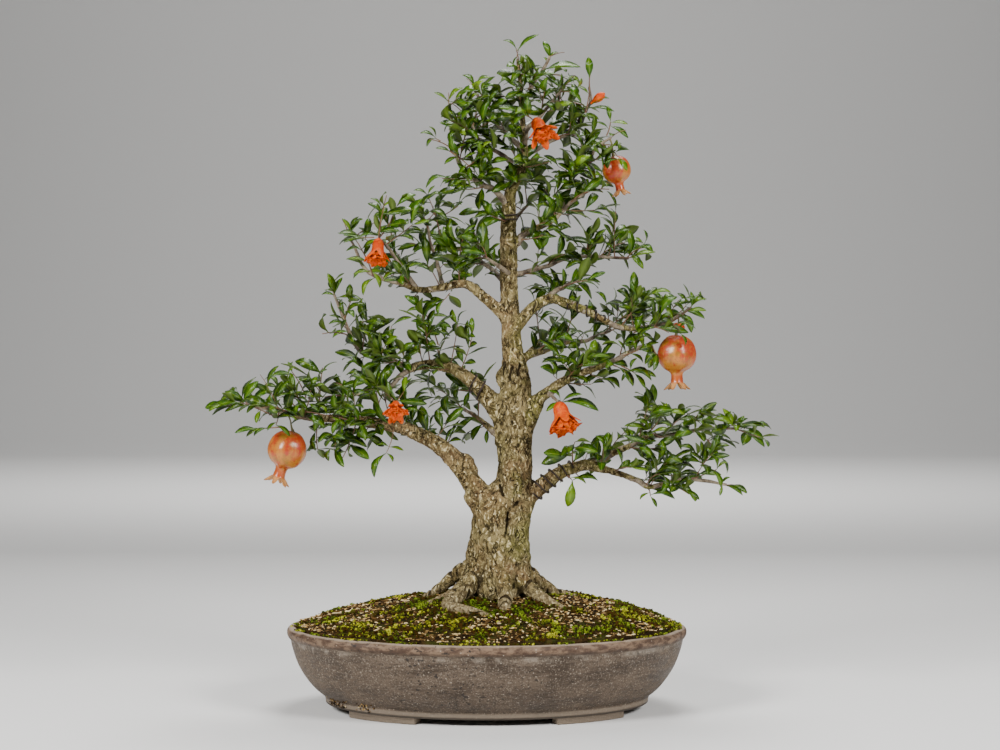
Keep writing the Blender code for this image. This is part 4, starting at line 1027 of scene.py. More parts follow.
def tubes(routes: Iterable[np.ndarray], sides: int) -> Mesh:
    """Round tubes along routes, as one mesh.

    Args:
        routes: For each tube, rows of (x, y, z, radius).
        sides: Faces round each tube, an even number from 4 up.

    Returns:
        The mesh, with capped ends.
    """
    curve = bpy.data.curves.new("guide", "CURVE")
    curve.dimensions = "3D"
    curve.bevel_depth = 1.0
    curve.bevel_resolution = (sides - 4) // 2
    curve.use_fill_caps = True
    for route in routes:
        spline = curve.splines.new("POLY")
        spline.points.add(len(route) - 1)
        for point, (x, y, z, radius) in zip(spline.points, route):
            point.co = (x, y, z, 1)
            point.radius = radius
    guide = as_object("guide", curve)
    mesh = baked(guide)
    bpy.data.objects.remove(guide)
    bpy.data.curves.remove(curve)
    return mesh


def baked(source: bpy.types.Object) -> Mesh:
    """The mesh of an object with its modifiers applied."""
    bpy.context.view_layer.update()
    graph = bpy.context.evaluated_depsgraph_get()
    return bpy.data.meshes.new_from_object(source.evaluated_get(graph))


def opened(mesh: Mesh) -> BMesh:
    """A mesh in the making from a finished one."""
    bm = bmesh.new()
    bm.from_mesh(mesh)
    return bm


def welded(bm: BMesh) -> BMesh:
    """The same mesh in the making, with its doubles merged."""
    bmesh.ops.remove_doubles(bm, verts=bm.verts, dist=1e-6)
    return bm


def turned(profile: Sequence[Pair], steps: int) -> BMesh:
    """A body of revolution round Z.

    Args:
        profile: Its (radius, z) points.
        steps: Its faces round.

    Returns:
        The closed body.
    """
    bm = bmesh.new()
    verts = [bm.verts.new((radius, 0, z)) for radius, z in profile]
    edges = [bm.edges.new(pair) for pair in zip(verts, verts[1:])]
    bmesh.ops.spin(bm, geom=verts + edges, cent=(0, 0, 0), axis=UP, angle=math.tau, steps=steps,
                   use_merge=True)
    return welded(bm)


def eased(points: Sequence[Pair], per_span: int) -> list[Pair]:
    """A profile's points on a smooth curve through the given ones."""
    flat = np.array([(r, 0.0, z, 0.0) for r, z in points])
    return [(max(0.0, float(row[0])), float(row[2])) for row in smooth_route(flat, per_span)]


def posed(bm: BMesh, foot: Vector, way: Vector, size: float, turn: float = 0.0) -> None:
    """Puts a unit body in place.

    Args:
        bm: The body, which stands on its foot and looks along +Z.
        foot: Where its foot goes.
        way: Where it looks.
        size: Its size.
        turn: How far it is turned round its own axis first.
    """
    aim = way.normalized().to_track_quat("Z", "Y").to_matrix().to_4x4()
    pose = Matrix.Translation(foot) @ aim @ Matrix.Rotation(turn, 4, "Z") @ Matrix.Scale(size, 4)
    bmesh.ops.transform(bm, matrix=pose, verts=bm.verts)


@dataclass(frozen=True)
class Lobes:
    """Pointed lobes that a turned body's mouth is parted into.

    Attributes:
        count: How many there are.
        mouth: (radius, z) past which the mouth belongs to them.
        root: (radius, z) that they grow from.
        notch: What a lobe's reach falls to between two lobes.
        sharpness: How fast it falls.
    """

    count: int
    mouth: Pair
    root: Pair
    notch: float
    sharpness: float

    def part(self, place: Vector, spread: float = 1.0) -> bool:
        """Moves a point of the mouth to its place on a lobe.

        Args:
            place: The point, which is changed.
            spread: How far the lobes open.

        Returns:
            Whether the point belongs to the mouth.
        """
        radius = math.hypot(place.x, place.y)
        if place.z <= self.mouth[1] or radius <= self.mouth[0]:
            return False
        point = abs(math.cos(self.count / 2 * math.atan2(place.y, place.x)))
        reach = self.notch + (1 - self.notch) * point**self.sharpness
        grown = self.root[0] + (radius - self.root[0]) * reach * spread
        place.x *= grown / radius
        place.y *= grown / radius
        place.z = self.root[1] + (place.z - self.root[1]) * reach * (1.5 - 0.5 * spread)
        return True


class Scatter:
    """Many copies of a few small master meshes, joined into one mesh."""

    def __init__(self, start: BMesh | None = None) -> None:
        """Starts with an empty mesh, or with the given one."""
        self.bm = bmesh.new() if start is None else start

    def add(self, master: Mesh, place: Matrix, tint: float, material: int = 0) -> None:
        """Adds one copy.

        Args:
            master: The mesh that is copied; it has a tint attribute.
            place: Where the copy goes, with its turn and its scale.
            tint: The copy's own tint.
            material: The number of its finish.
        """
        copy = master.copy()
        copy.transform(place)
        copy.attributes["tint"].data.foreach_set("value", [tint] * len(copy.vertices))
        self.add_mesh(copy, material)

    def add_mesh(self, mesh: Mesh, material: int) -> None:
        """Adds a mesh as it is, under one finish, and uses it up."""
        mesh.polygons.foreach_set("material_index", [material] * len(mesh.polygons))
        self.bm.from_mesh(mesh)
        bpy.data.meshes.remove(mesh)


def master_mesh(name: str, bm: BMesh) -> Mesh:
    """Keeps a small mesh for scattering, with faces outwards and a tint to fill in."""
    set_levels(bm, "tint", lambda vert: 0.0)
    bmesh.ops.recalc_face_normals(bm, faces=bm.faces)
    return as_mesh(name, bm)


# Pot, soil and moss


def oval_y(radius: float) -> float:
    """How far a ring of this radius reaches in y, so that the pot's wall is even all round."""
    if radius >= FLOOR_RADIUS:
        return radius - OVAL_INSET
    return radius * (FLOOR_RADIUS - OVAL_INSET) / FLOOR_RADIUS


def on_oval(radius: float, turn: float, z: float) -> Matrix:
    """A shift to a place on one of the pot's ovals."""
    return Matrix.Translation((radius * math.cos(turn), oval_y(radius) * math.sin(turn), z))


def squeeze_to_oval(bm: BMesh) -> None:
    """Turns round rings into the pot's ovals."""
    for vert in bm.verts:
        radius = math.hypot(vert.co.x, vert.co.y)
        if radius > 1e-6:
            vert.co.y *= oval_y(radius) / radius


@dataclass
class Pot:
    """The oval footed pot, hand-finished, with a rolled lip and two drain holes."""

    clay: Finish = ClayFinish()
    steps: int = 144
    wobble: float = 0.0007
    foot_width: float = 13 * MM
    foot_outer: float = 160.5 * MM
    foot_top: float = 8.5 * MM
    foot_start: float = 33.4
    foot_sweep: float = 31.5
    drain_offset: float = 85 * MM
    drain_radius: float = 11 * MM
    drain_depth: float = 30 * MM
    floor_middle: float = 13.5 * MM

    def section(self) -> list[Pair]:
        """The wall's section: inside, lip, outside, foot band and underside, as (radius, z)."""
        inside = eased([(0.1500, 0.0175), (0.1720, 0.0300), (0.1845, 0.0530), (0.1892, 0.0745)], 4)
        lip = eased([(0.1900, 0.0785), (0.1912, 0.0806), (0.1935, 0.0817), (0.1965, 0.0815),
                     (0.1990, 0.0801), (0.2000, 0.0776), (0.1997, 0.0743), (0.1984, 0.0718)], 2)
        outside = eased([(0.1966, 0.0704), (0.1956, 0.0650), (0.1926, 0.0550), (0.1887, 0.0450),
                         (0.1843, 0.0370), (0.1784, 0.0285), (0.1718, 0.0210), (0.1658, 0.0162),
                         (0.1625, 0.0136)], 2)
        under = [(0.1622, 0.0118), (0.1617, 0.0100), (0.1615, 0.0070), (0.1608, 0.0065), (0.1486, 0.0065),
                 (0.1478, 0.0070), (0.1462, 0.0095), (0.1000, 0.0095), (0.0, 0.0095)]
        return [(0.0, 0.0175), (0.1000, 0.0175), *inside, *lip, *outside, *under]

    def foot(self, start: float) -> bpy.types.Object:
        """One curved foot under the band, with softened edges, as a loose object.

        Args:
            start: Where it starts round the pot, in degrees.

        Returns:
            A helper that is joined to the bowl.
        """
        inner, outer, top = self.foot_outer - self.foot_width, self.foot_outer, self.foot_top
        bm = bmesh.new()
        loop = [bm.verts.new((r, 0, z)) for r, z in ((inner, 0.0), (outer, 0.0), (outer, top), (inner, top))]
        edges = [bm.edges.new((loop[k - 1], loop[k])) for k in range(4)]
        swing = Matrix.Rotation(math.radians(start), 3, "Z")
        bmesh.ops.rotate(bm, verts=loop, cent=(0, 0, 0), matrix=swing)
        bmesh.ops.spin(bm, geom=loop + edges, cent=(0, 0, 0), axis=UP,
                       angle=math.radians(self.foot_sweep), steps=12)
        bmesh.ops.holes_fill(bm, edges=[edge for edge in bm.edges if edge.is_boundary], sides=4)
        bmesh.ops.recalc_face_normals(bm, faces=bm.faces)
        sharp = [edge for edge in bm.edges if edge.calc_face_angle(0) > 1.0]
        bmesh.ops.bevel(bm, geom=sharp, offset=0.0012, segments=2, profile=0.5, affect="EDGES", material=-1)
        squeeze_to_oval(bm)
        return as_object("foot", as_mesh("foot", bm))

    def drill(self, side: int) -> bpy.types.Object:
        """A loose round bar where a drain hole goes.

        Args:
            side: -1 for the left one and 1 for the right one.

        Returns:
            A helper that is cut out of the bowl.
        """
        bm = bmesh.new()
        place = Matrix.Translation((side * self.drain_offset, 0, self.floor_middle))
        bmesh.ops.create_cone(bm, cap_ends=True, segments=28, radius1=self.drain_radius,
                              radius2=self.drain_radius, depth=self.drain_depth, matrix=place)
        return as_object("drill", as_mesh("drill", bm))

    def build(self) -> None:
        """Builds the bowl with its feet, drills its holes and dresses it."""
        bm = turned(self.section(), self.steps)
        squeeze_to_oval(bm)
        bmesh.ops.recalc_face_normals(bm, faces=bm.faces)
        for vert in bm.verts:
            if vert.co.z > 0.010:
                away = Vector((vert.co.x, vert.co.y, 0)).normalized()
                vert.co += away * (noise.noise(vert.co * 22.0) * self.wobble)
                vert.co.z += noise.noise(Vector((vert.co.x, vert.co.y, 3)) * 14.0) * self.wobble
        bowl = as_object("bowl", as_mesh("bowl", bm))
        first, last = self.foot_start, 180 - self.foot_start - self.foot_sweep
        for start in (first, last, 180 + first, 180 + last):
            join(bowl, "UNION", self.foot(start))
        for side in (-1, 1):
            join(bowl, "DIFFERENCE", self.drill(side))
        bm = opened(bowl.data)
        bpy.data.objects.remove(bowl)
        finished("oval_pot", bm, [self.clay], "stoneware", ["pot"], recalc=False)


def join(body: bpy.types.Object, operation: str, other: bpy.types.Object) -> None:
    """Joins a loose object to a body or cuts it out of it, and uses it up.

    Args:
        body: The object that is changed.
        operation: UNION or DIFFERENCE.
        other: The object that is used up.
    """
    cut = body.modifiers.new("cut", "BOOLEAN")
    cut.operation = operation
    cut.solver = "EXACT"
    cut.object = other
    body.data = baked(body)
    body.modifiers.clear()
    bpy.data.objects.remove(other)


@dataclass
class DrainScreens:
    """The two slotted screens, which the model already holds."""

    plastic: Finish = PlasticFinish()

    def build(self) -> None:
        """Dresses both nodes."""
        for side in ("left", "right"):
            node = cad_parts[f"drain_screen_{side}"]
            node.data.materials.clear()
            node.data.materials.append(self.plastic.material())
            LOG.info("%s: dressed", node.name)


class Cover(Enum):
    """What a spot of the mound's surface carries."""

    BARE = "bare"
    MOSS = "moss"
    GRIT = "grit"


@dataclass
class Mound:
    """The soil with its moss tufts, loose grit and fallen bits."""

    soil: Finish = SoilFinish()
    moss: Finish = MossFinish()
    grit: Finish = GritFinish()
    bump: float = 1.6 * MM
    bump_scale: float = 55.0
    fine_bump: float = 0.9 * MM
    fine_scale: float = 260.0
    reach: float = 188.5 * MM
    rings: int = 56
    tufts: int = 9900
    grains: int = 7000
    rim_tufts: int = 2600
    rim_start: float = 187.2 * MM
    rim_end: float = 195.5 * MM
    crumbs: int = 110
    crumb_heaps: tuple[Pair, ...] = ((204, 3.5), (204, 3.5), (211, 5), (224, 1.6))
    seed: int = 11

    def top(self, x: float, y: float) -> float:
        """Height of the finished surface."""
        broad = noise.noise(Vector((x, y, 0.09)) * self.bump_scale) * self.bump
        fine = noise.noise(Vector((x, y, 0.5)) * self.fine_scale) * self.fine_bump
        return soil_height(x, y) + broad + fine

    def nearness(self, x: float, y: float) -> float:
        """How near a place is to the trunk: 1 there, and falling to 0."""
        return math.exp(-((x - SOIL_PEAK_X) ** 2 + y * y) / 0.0060)

    def cover(self, x: float, y: float, rng: random.Random) -> Cover:
        """What grows or lies at a place: moss in patches, thicker near the roots.

        Args:
            x: Place along the pot.
            y: Place across the pot.
            rng: The mound's own draw.

        Returns:
            The kind of cover.
        """
        patch = noise.noise(Vector((x, y, 7.7)) * 38.0) + 0.5 * noise.noise(Vector((x, y, 1.3)) * 120.0)
        if rng.random() < 0.42 + 2.2 * patch + 0.25 * self.nearness(x, y):
            return Cover.MOSS
        return Cover.GRIT if rng.random() < 0.8 else Cover.BARE

    def spot(self, rng: random.Random) -> Pair:
        """An even draw over the oval surface."""
        turn, reach = rng.uniform(0, math.tau), math.sqrt(rng.random())
        across = (self.reach - OVAL_INSET) * reach * math.sin(turn)
        return self.reach * reach * math.cos(turn), across

    def masters(self, name: str, draw: int, shape: Callable[[Vector, random.Random], Vector]) -> list[Mesh]:
        """Three small uneven balls.

        Args:
            name: What they are.
            draw: Which of the mound's draws they take.
            shape: Gives a point of a ball its new place.

        Returns:
            Their meshes for scattering.
        """
        made = []
        rng = random.Random(self.seed + draw)
        for k in range(3):
            bm = bmesh.new()
            bmesh.ops.create_icosphere(bm, subdivisions=1, radius=1.0)
            for vert in bm.verts:
                vert.co = shape(vert.co, rng)
            made.append(master_mesh(f"{name}_{k}", bm))
        return made

    def spiky(self, place: Vector, rng: random.Random) -> Vector:
        """A point of a tuft."""
        out = rng.uniform(0.40, 1.65)
        return Vector((place.x * out, place.y * out, place.z * rng.uniform(0.5, 1.5)))

    def angular(self, place: Vector, rng: random.Random) -> Vector:
        """A point of a grain."""
        return place * rng.uniform(0.75, 1.1)

    def build_soil(self) -> None:
        """The closed body of soil with its fine top, which stands at z = 1 until it gets its height."""
        under = [(0.0, 0.0178), (0.1496, 0.0178), (0.1715, 0.0304), (0.1838, 0.0533), (self.reach, 0.0760)]
        rings = [(self.reach * (1 - k / self.rings), 1.0) for k in range(self.rings + 1)]
        bm = turned(under + rings, 150)
        squeeze_to_oval(bm)
        for vert in bm.verts:
            if vert.co.z > 0.9:
                vert.co.z = self.top(vert.co.x, vert.co.y)
        finished("soil_mound", bm, [self.soil], "mossy_soil", ["soil"])

    def build_cover(self) -> None:
        """Scatters moss and grit over the soil, moss along the lip and crumbs on the foot's ledge."""
        rng = random.Random(self.seed + 2)
        cushions, stones, edging = Scatter(), Scatter(), Scatter()
        tufts, grains = self.masters("tuft", 0, self.spiky), self.masters("grain", 1, self.angular)
        grown = laid = 0
        while grown < self.tufts or laid < self.grains:
            x, y = self.spot(rng)
            kind = self.cover(x, y, rng)
            turn = Matrix.Rotation(rng.uniform(0, math.tau), 4, "Z")
            turn = turn @ Matrix.Rotation(rng.uniform(-0.5, 0.5), 4, "X")
            if kind is Cover.MOSS and grown < self.tufts:
                size = rng.uniform(0.55, 1.60) * MM
                lift = Matrix.Translation((x, y, self.top(x, y) + size * rng.uniform(0.2, 1.3)))
                tint = 0.36 + 0.7 * noise.noise(Vector((x, y, 4.1)) * 70.0) - 0.10 * self.nearness(x, y)
                squash = Matrix.Diagonal((size, size, size * rng.uniform(0.7, 1.7), 1))
                cushions.add(rng.choice(tufts), lift @ turn @ squash, tint + rng.uniform(-0.42, 0.42))
                grown += 1
            elif kind is Cover.GRIT and laid < self.grains:
                size = rng.uniform(0.50, 1.35) * MM
                long = rng.uniform(1.0, 1.8) if rng.random() < 0.5 else rng.uniform(2.2, 3.8)
                lift = Matrix.Translation((x, y, self.top(x, y) + size * 0.5))
                wide, thick = rng.uniform(0.6, 1.0), rng.uniform(0.5, 0.9)
                squash = Matrix.Diagonal((size * long, size * wide, size * thick, 1))
                stones.add(rng.choice(grains), lift @ turn @ squash, rng.random() ** 1.3)
                laid += 1
        for _ in range(self.rim_tufts):
            turn, radius = rng.uniform(0, math.tau), rng.uniform(self.rim_start, self.rim_end)
            crowd = noise.noise(Vector((math.cos(turn), math.sin(turn), 2.2)) * 9.0)
            if rng.random() > 0.70 + 1.8 * crowd - 70 * (radius - self.rim_start):
                continue
            size = rng.uniform(0.8, 1.5) * MM
            spin = Matrix.Rotation(rng.uniform(0, math.tau), 4, "Z") @ Matrix.Scale(size, 4)
            edging.add(rng.choice(tufts), on_oval(radius, turn, 0.0822) @ spin, rng.uniform(0.0, 0.85))
        for _ in range(self.crumbs):
            middle, spread = rng.choice(self.crumb_heaps)
            turn, z = math.radians(rng.gauss(middle, spread)), rng.uniform(0.0085, 0.0165)
            radius = 0.1624 + max(0.0, z - 0.0136) * 1.27
            squash = Matrix.Diagonal([rng.uniform(0.4, 1.2) * MM for _ in range(3)]).to_4x4()
            stones.add(rng.choice(grains), on_oval(radius, turn, z) @ squash, rng.random() ** 2.5)
        for name, bunch, look in (("moss_edging", edging, self.moss), ("moss_tufts", cushions, self.moss),
                                  ("loose_grit", stones, self.grit)):
            finished(name, bunch.bm, [look], "mossy_soil", recalc=False, smooth=False)

    def build(self) -> None:
        """Builds the soil and its cover."""
        self.build_soil()
        self.build_cover()


# Wood


@dataclass
class Wood:
    """Trunk, roots and limbs: one skin over the thick wood, and plain tubes for the thin.

    Attributes:
        ridges: Courses of (x, y, z, radius) that swell the trunk, in millimetres.
        lumps: Burrs as (x, y, z, radius), in millimetres.
        hollows: Grooves from one point to another, with width and depth, in millimetres.
    """

    bark: Finish = BarkFinish()
    young: Finish = TwigFinish()
    voxel: float = 1.35 * MM
    thick: float = 4.4
    thin_end: float = 2.0 * MM
    root_middle: float = 14 * MM
    root_top: float = 128 * MM
    ridges: tuple[tuple[Quad, ...], ...] = (
        ((-16, -8, 108, 13), (-12, -11, 135, 12), (-2, -12, 165, 11), (0, -11, 185, 11), (-9, -10, 215, 11)),
        ((33, -8, 108, 12), (33, -10, 138, 11), (31, -12, 168, 11), (34, -9, 195, 11.5), (42, -4, 209, 8.5)),
        ((8, -22, 106, 12), (6, -22, 135, 10), (10, -20, 165, 9), (14, -16, 195, 10), (24, -12, 228, 9)),
        ((2, 18, 108, 13), (6, 18, 145, 13), (14, 15, 185, 12), (24, 9, 225, 10)),
        ((30, 12, 110, 12), (32, 12, 150, 11), (32, 9, 190, 10)),
        ((35, -3, 256, 8), (38, -4, 276, 8.5), (44, -5, 291, 7.8), (52, -7, 306, 6.5)),
        ((16, 0, 262, 8), (16, 2, 282, 9), (8, 4, 300, 9.5), (-4, 6, 315, 8.5)),
    )
    lumps: tuple[Quad, ...] = (
        (-7, -4, 161, 13), (-10, -6, 153, 12), (32, -5, 160, 12.2), (34, -4, 151, 11), (25, -12, 233, 11),
        (28, -15, 224, 10), (27, -18, 213, 10), (-24, -10, 243, 12.3), (-20, -9, 236, 12),
        (-12, -8, 211, 11.3), (-7, -8, 203, 11), (27, 4, 345, 12.5), (26, 0, 334, 14.3),
        (30, -3, 323, 13.6), (20, 3, 330, 12),
    )
    hollows: tuple[tuple[Triple, Triple, float, float], ...] = (
        ((19.5, -32, 176), (21.5, -30, 197), 1.3, 5.0), ((24, -30, 201), (31, -28, 205), 2.0, 5.0),
        ((15, -14, 334), (17, -14, 345), 1.6, 3.5), ((22, -15, 330), (25, -15, 341), 1.6, 3.5),
        ((31, -14, 333), (34, -14, 343), 1.6, 3.5), ((16, -24, 214), (12, -24, 224), 1.6, 3.5),
    )

    def thick_routes(self) -> list[np.ndarray]:
        """Smooth courses of all that the skin covers: the trunk, the roots, then the rest."""
        routes = [smooth_route(limb_route("trunk"), 4)]
        routes += [smooth_route(root_route(name), 5) for name in ROOTS]
        for name, course in LIMBS.items():
            if course.base >= self.thick:
                route = smooth_route(limb_route(name), 4)
                routes.append(route[route[:, 3] > self.thin_end])
        return routes + [smooth_route(np.array(ridge, float) * MM, 4) for ridge in self.ridges]

    def skin(self) -> Mesh:
        """One even skin over the thick wood and its burrs."""
        bm = opened(tubes(self.thick_routes(), 16))
        for x, y, z, radius in self.lumps:
            bmesh.ops.create_icosphere(bm, subdivisions=3, radius=radius * MM,
                                       matrix=Matrix.Translation(Vector((x, y, z)) * MM))
        core = as_object("core", as_mesh("core", bm))
        even = core.modifiers.new("even", "REMESH")
        even.mode = "VOXEL"
        even.voxel_size = self.voxel
        soft = core.modifiers.new("soft", "SMOOTH")
        soft.factor = 0.5
        soft.iterations = 3
        mesh = baked(core)
        bpy.data.objects.remove(core)
        return mesh

    def relief(self, place: Vector, radius: float, root: bool) -> Pair:
        """How far the bark stands out at a place, and how deep in a crack the place is.

        Args:
            place: A point of the smooth skin.
            radius: The wood's radius there.
            root: Whether it is a root, which is smoother.

        Returns:
            The height in metres, and the level from 0, in a crack, to 1, on a plate, which the bark darkens
            with painted shade where it is low.
        """
        size = min(1.0, max(0.22, radius / 0.022))
        broad = noise.noise(place * 48.0)
        fine = noise.noise(place * 480.0)
        if root:
            out = math.hypot(place.x - self.root_middle, place.y) + 0.002 * noise.noise(place * 120.0)
            turn = math.atan2(place.y, place.x - self.root_middle)
            rings = noise.noise(Vector((out * 330.0, turn * 2.5, place.z * 60.0)))
            crease = max(0.0, -rings - 0.12)
            height = (0.0010 * broad + 0.0007 * rings + 0.0003 * fine) * (0.5 + 0.5 * size)
            # Root creases lower the level, so the bark paints shade in them.
            return height - 0.0016 * crease, 0.62 - 1.9 * crease
        stretch = Vector((place.x, place.y, place.z * 0.5)) + noise.noise_vector(place * 90.0) * 0.002
        crack = min(1.0, abs(noise.noise(stretch * 130.0)) * 5.0)
        short = min(1.0, abs(noise.noise(stretch * 260.0 + BACK * 9)) * 4.0)
        knobs = noise.noise(stretch * 240.0 - BACK * 5)
        height = (0.0013 * knobs - 0.0018 * (1 - crack) ** 1.5 - 0.0008 * (1 - short) ** 1.5) * size
        # The level sinks with the cracks' depth, so the bark paints shade in them.
        level = 0.10 + 0.45 * crack + 0.25 * short + 0.3 * knobs
        return height + 0.0017 * broad * size + 0.0003 * fine, level

    def dip(self, place: Vector, start: Vector, end: Vector, width: float) -> float:
        """How deep a place lies in a groove on the front, from 1 in its middle to 0 outside it.

        Args:
            place: A point of the skin.
            start: One end of the groove.
            end: Its other end.
            width: Its half width.

        Returns:
            The share of the groove's depth.
        """
        share = min(1.0, max(0.0, (place - start).dot(end - start) / (end - start).length_squared))
        near = start.lerp(end, share)
        flat = math.hypot(place.x - near.x, place.z - near.z)
        return math.exp(-((flat / width) ** 2)) if flat < 3 * width else 0.0

    def build_skin(self) -> None:
        """Gives the skin its bark relief and its hollows, and the level that the bark paints shade with in
        cracks and hollows.
        """
        routes = self.thick_routes()
        rows = [(row, 1 <= number <= len(ROOTS)) for number, route in enumerate(routes) for row in route]
        nearest = finder([row[:3] for row, _ in rows])
        bm = opened(self.skin())
        bm.normal_update()
        layer, ground = bm.verts.layers.float.new("relief"), bm.verts.layers.float.new("root")
        grooves = [(Vector(start) * MM, Vector(end) * MM, width * MM, depth * MM)
                   for start, end, width, depth in self.hollows]
        moves = []
        for vert in bm.verts:
            row, root = rows[nearest.find(vert.co)[1]]
            height, level = self.relief(vert.co, row[3], root)
            for start, end, width, depth in grooves if vert.co.y < 0 else ():
                dip = self.dip(vert.co, start, end, width)
                height -= depth * dip
                # Painted shade: the hollow's level drops, so it is darkened as well as deepened.
                level -= 0.9 * dip
            vert[layer] = level
            vert[ground] = min(1.0, max(0.0, (self.root_top - vert.co.z) / 0.02)) if root else 0.0
            moves.append(vert.normal * height)
        for vert, move in zip(bm.verts, moves):
            vert.co += move
        finished("trunk_and_roots", bm, [self.bark], "bark", ["wood"])

    def build_limbs(self) -> None:
        """The thin limbs and the thin ends of the thick ones, with swollen joints."""
        routes = []
        for name in LIMBS:
            route = smooth_route(limb_route(name), 6)
            rng = random.Random(name)
            for row in route:
                knot = 1.0 + 0.22 * max(0.0, noise.noise(Vector(row[:3]) * 160.0)) + rng.uniform(-0.06, 0.06)
                row[3] *= knot * (0.70 if row[3] > 0.0045 else 0.84 if row[3] > self.thin_end * 1.3 else 1.0)
                row[:3] += np.array(noise.noise_vector(Vector(row[:3]) * 70.0)) * min(0.0016, row[3] * 0.5)
            routes.append(route)
        bm = welded(opened(tubes(routes, 10)))
        bmesh.ops.subdivide_edges(bm, edges=[e for e in bm.edges if e.calc_length() > 0.005], cuts=1)
        bm.normal_update()
        for vert in bm.verts:
            vert.co += vert.normal * (noise.noise(vert.co * 330.0) * 0.0004)
        finished("thin_limbs", bm, [self.young], "bark")

    def build(self) -> None:
        """Builds all the wood."""
        self.build_skin()
        self.build_limbs()


# Leaves

# Stems that the model holds too: the limb, the share of its length, and the way to the tip
STEMS: tuple[tuple[str, float, Triple], ...] = (
    ("left_low", 1.00, (-20, -4, -2)), ("left_low", 0.90, (-18, 20, 36)), ("left_low", 0.83, (-28, -44, 8)),
    ("left_low", 0.75, (2, 20, 50)), ("left_low", 0.67, (-16, 54, 8)), ("left_low", 0.59, (-14, -48, 16)),
    ("left_low", 0.50, (-14, 30, 42)), ("left_mid", 0.54, (14, -34, 42)), ("left_mid", 0.80, (-8, -22, 56)),
    ("left_mid_fall", 1.00, (-24, -10, 0)), ("left_mid_rise", 1.00, (-6, -4, 14)),
    ("left_mid_rise", 0.45, (6, 44, 34)), ("left_mid_rise", 0.62, (-26, -34, 2)),
    ("left_high", 1.00, (-8, -6, 20)), ("left_high", 0.62, (-10, 44, 36)), ("left_high", 0.32, (4, -38, 42)),
    ("left_high_rise", 1.00, (12, 16, 16)), ("left_top", 1.00, (0, -6, 12)),
    ("left_top", 0.62, (-26, -26, 10)), ("crown_left", 1.00, (-18, -16, 18)),
    ("crown_back_left", 1.00, (-8, 16, 14)), ("trunk", 1.00, (2, 2, 9)), ("crown_tip", 1.00, (14, -12, 2)),
    ("crown_right", 1.00, (2, 10, 14)), ("crown_middle", 1.00, (10, -24, 8)),
    ("right_upper_rise", 1.00, (14, -10, 6)), ("right_upper", 1.00, (22, -22, 2)),
    ("right_upper_back", 1.00, (14, 14, 6)), ("right_high_rise", 1.00, (14, 18, 10)),
    ("right_high", 1.00, (8, -6, 12)), ("right_high", 0.70, (2, 40, 24)),
    ("right_mid_back", 1.00, (22, 18, 6)), ("right_mid", 1.00, (2, -34, -12)),
    ("right_low", 0.84, (0, -44, 28)), ("right_low_back", 1.00, (14, -2, 2)),
    ("right_low_back", 0.45, (14, 44, 24)), ("right_low_front", 1.00, (16, -8, -2)),
    ("right_low_front", 0.45, (10, -44, 14)), ("back_low", 1.00, (-12, 22, 8)),
    ("back_mid", 1.00, (10, 22, 10)), ("back_high", 1.00, (-10, 20, 12)), ("front_mid", 1.00, (-8, -16, 14)),
)

# Outlines of the leafy masses as (x, z) of the front view
PADS: tuple[tuple[Pair, ...], ...] = (
    ((-280, 310), (-240, 332), (-205, 350), (-110, 342), (-65, 330), (-45, 310), (-47, 275), (-75, 253),
     (-105, 225), (-145, 242), (-225, 265), (-280, 295)),
    ((-172, 443), (-138, 443), (-124, 408), (-103, 390), (-82, 412), (-47, 412), (15, 380), (20, 336),
     (-5, 306), (-87, 320), (-138, 324), (-166, 368), (-156, 396), (-174, 408)),
    ((-62, 316), (13, 316), (13, 258), (-32, 253), (-57, 288)),
    ((-147, 477), (-118, 511), (-77, 511), (-63, 525), (-35, 531), (18, 509), (21, 423), (-17, 406),
     (-82, 404), (-104, 420), (-145, 459)),
    ((-44, 600), (-28, 616), (13, 634), (19, 504), (-17, 497), (-40, 517), (-32, 544), (-46, 586)),
    ((11, 634), (20, 648), (50, 650), (62, 638), (94, 632), (106, 612), (118, 606), (118, 585), (134, 572),
     (140, 555), (138, 513), (104, 503), (53, 501), (13, 505)),
    ((31, 509), (114, 523), (156, 485), (176, 463), (152, 433), (114, 439), (85, 447), (37, 416)),
    ((39, 447), (114, 447), (126, 424), (196, 426), (224, 414), (226, 386), (206, 364), (159, 356),
     (114, 362), (69, 384), (39, 396)),
    ((43, 400), (114, 380), (156, 366), (180, 340), (174, 304), (134, 306), (93, 294), (58, 300), (43, 336)),
    ((49, 256), (104, 278), (150, 284), (154, 306), (256, 310), (288, 286), (288, 254), (238, 246),
     (258, 213), (216, 223), (206, 201), (134, 221), (106, 230), (85, 193), (55, 213)),
    ((-9, 463), (58, 463), (58, 422), (-9, 422)),
)

PIXEL = 1.005
PICTURE_MIDDLE = 487.0
PICTURE_GROUND = 706.4

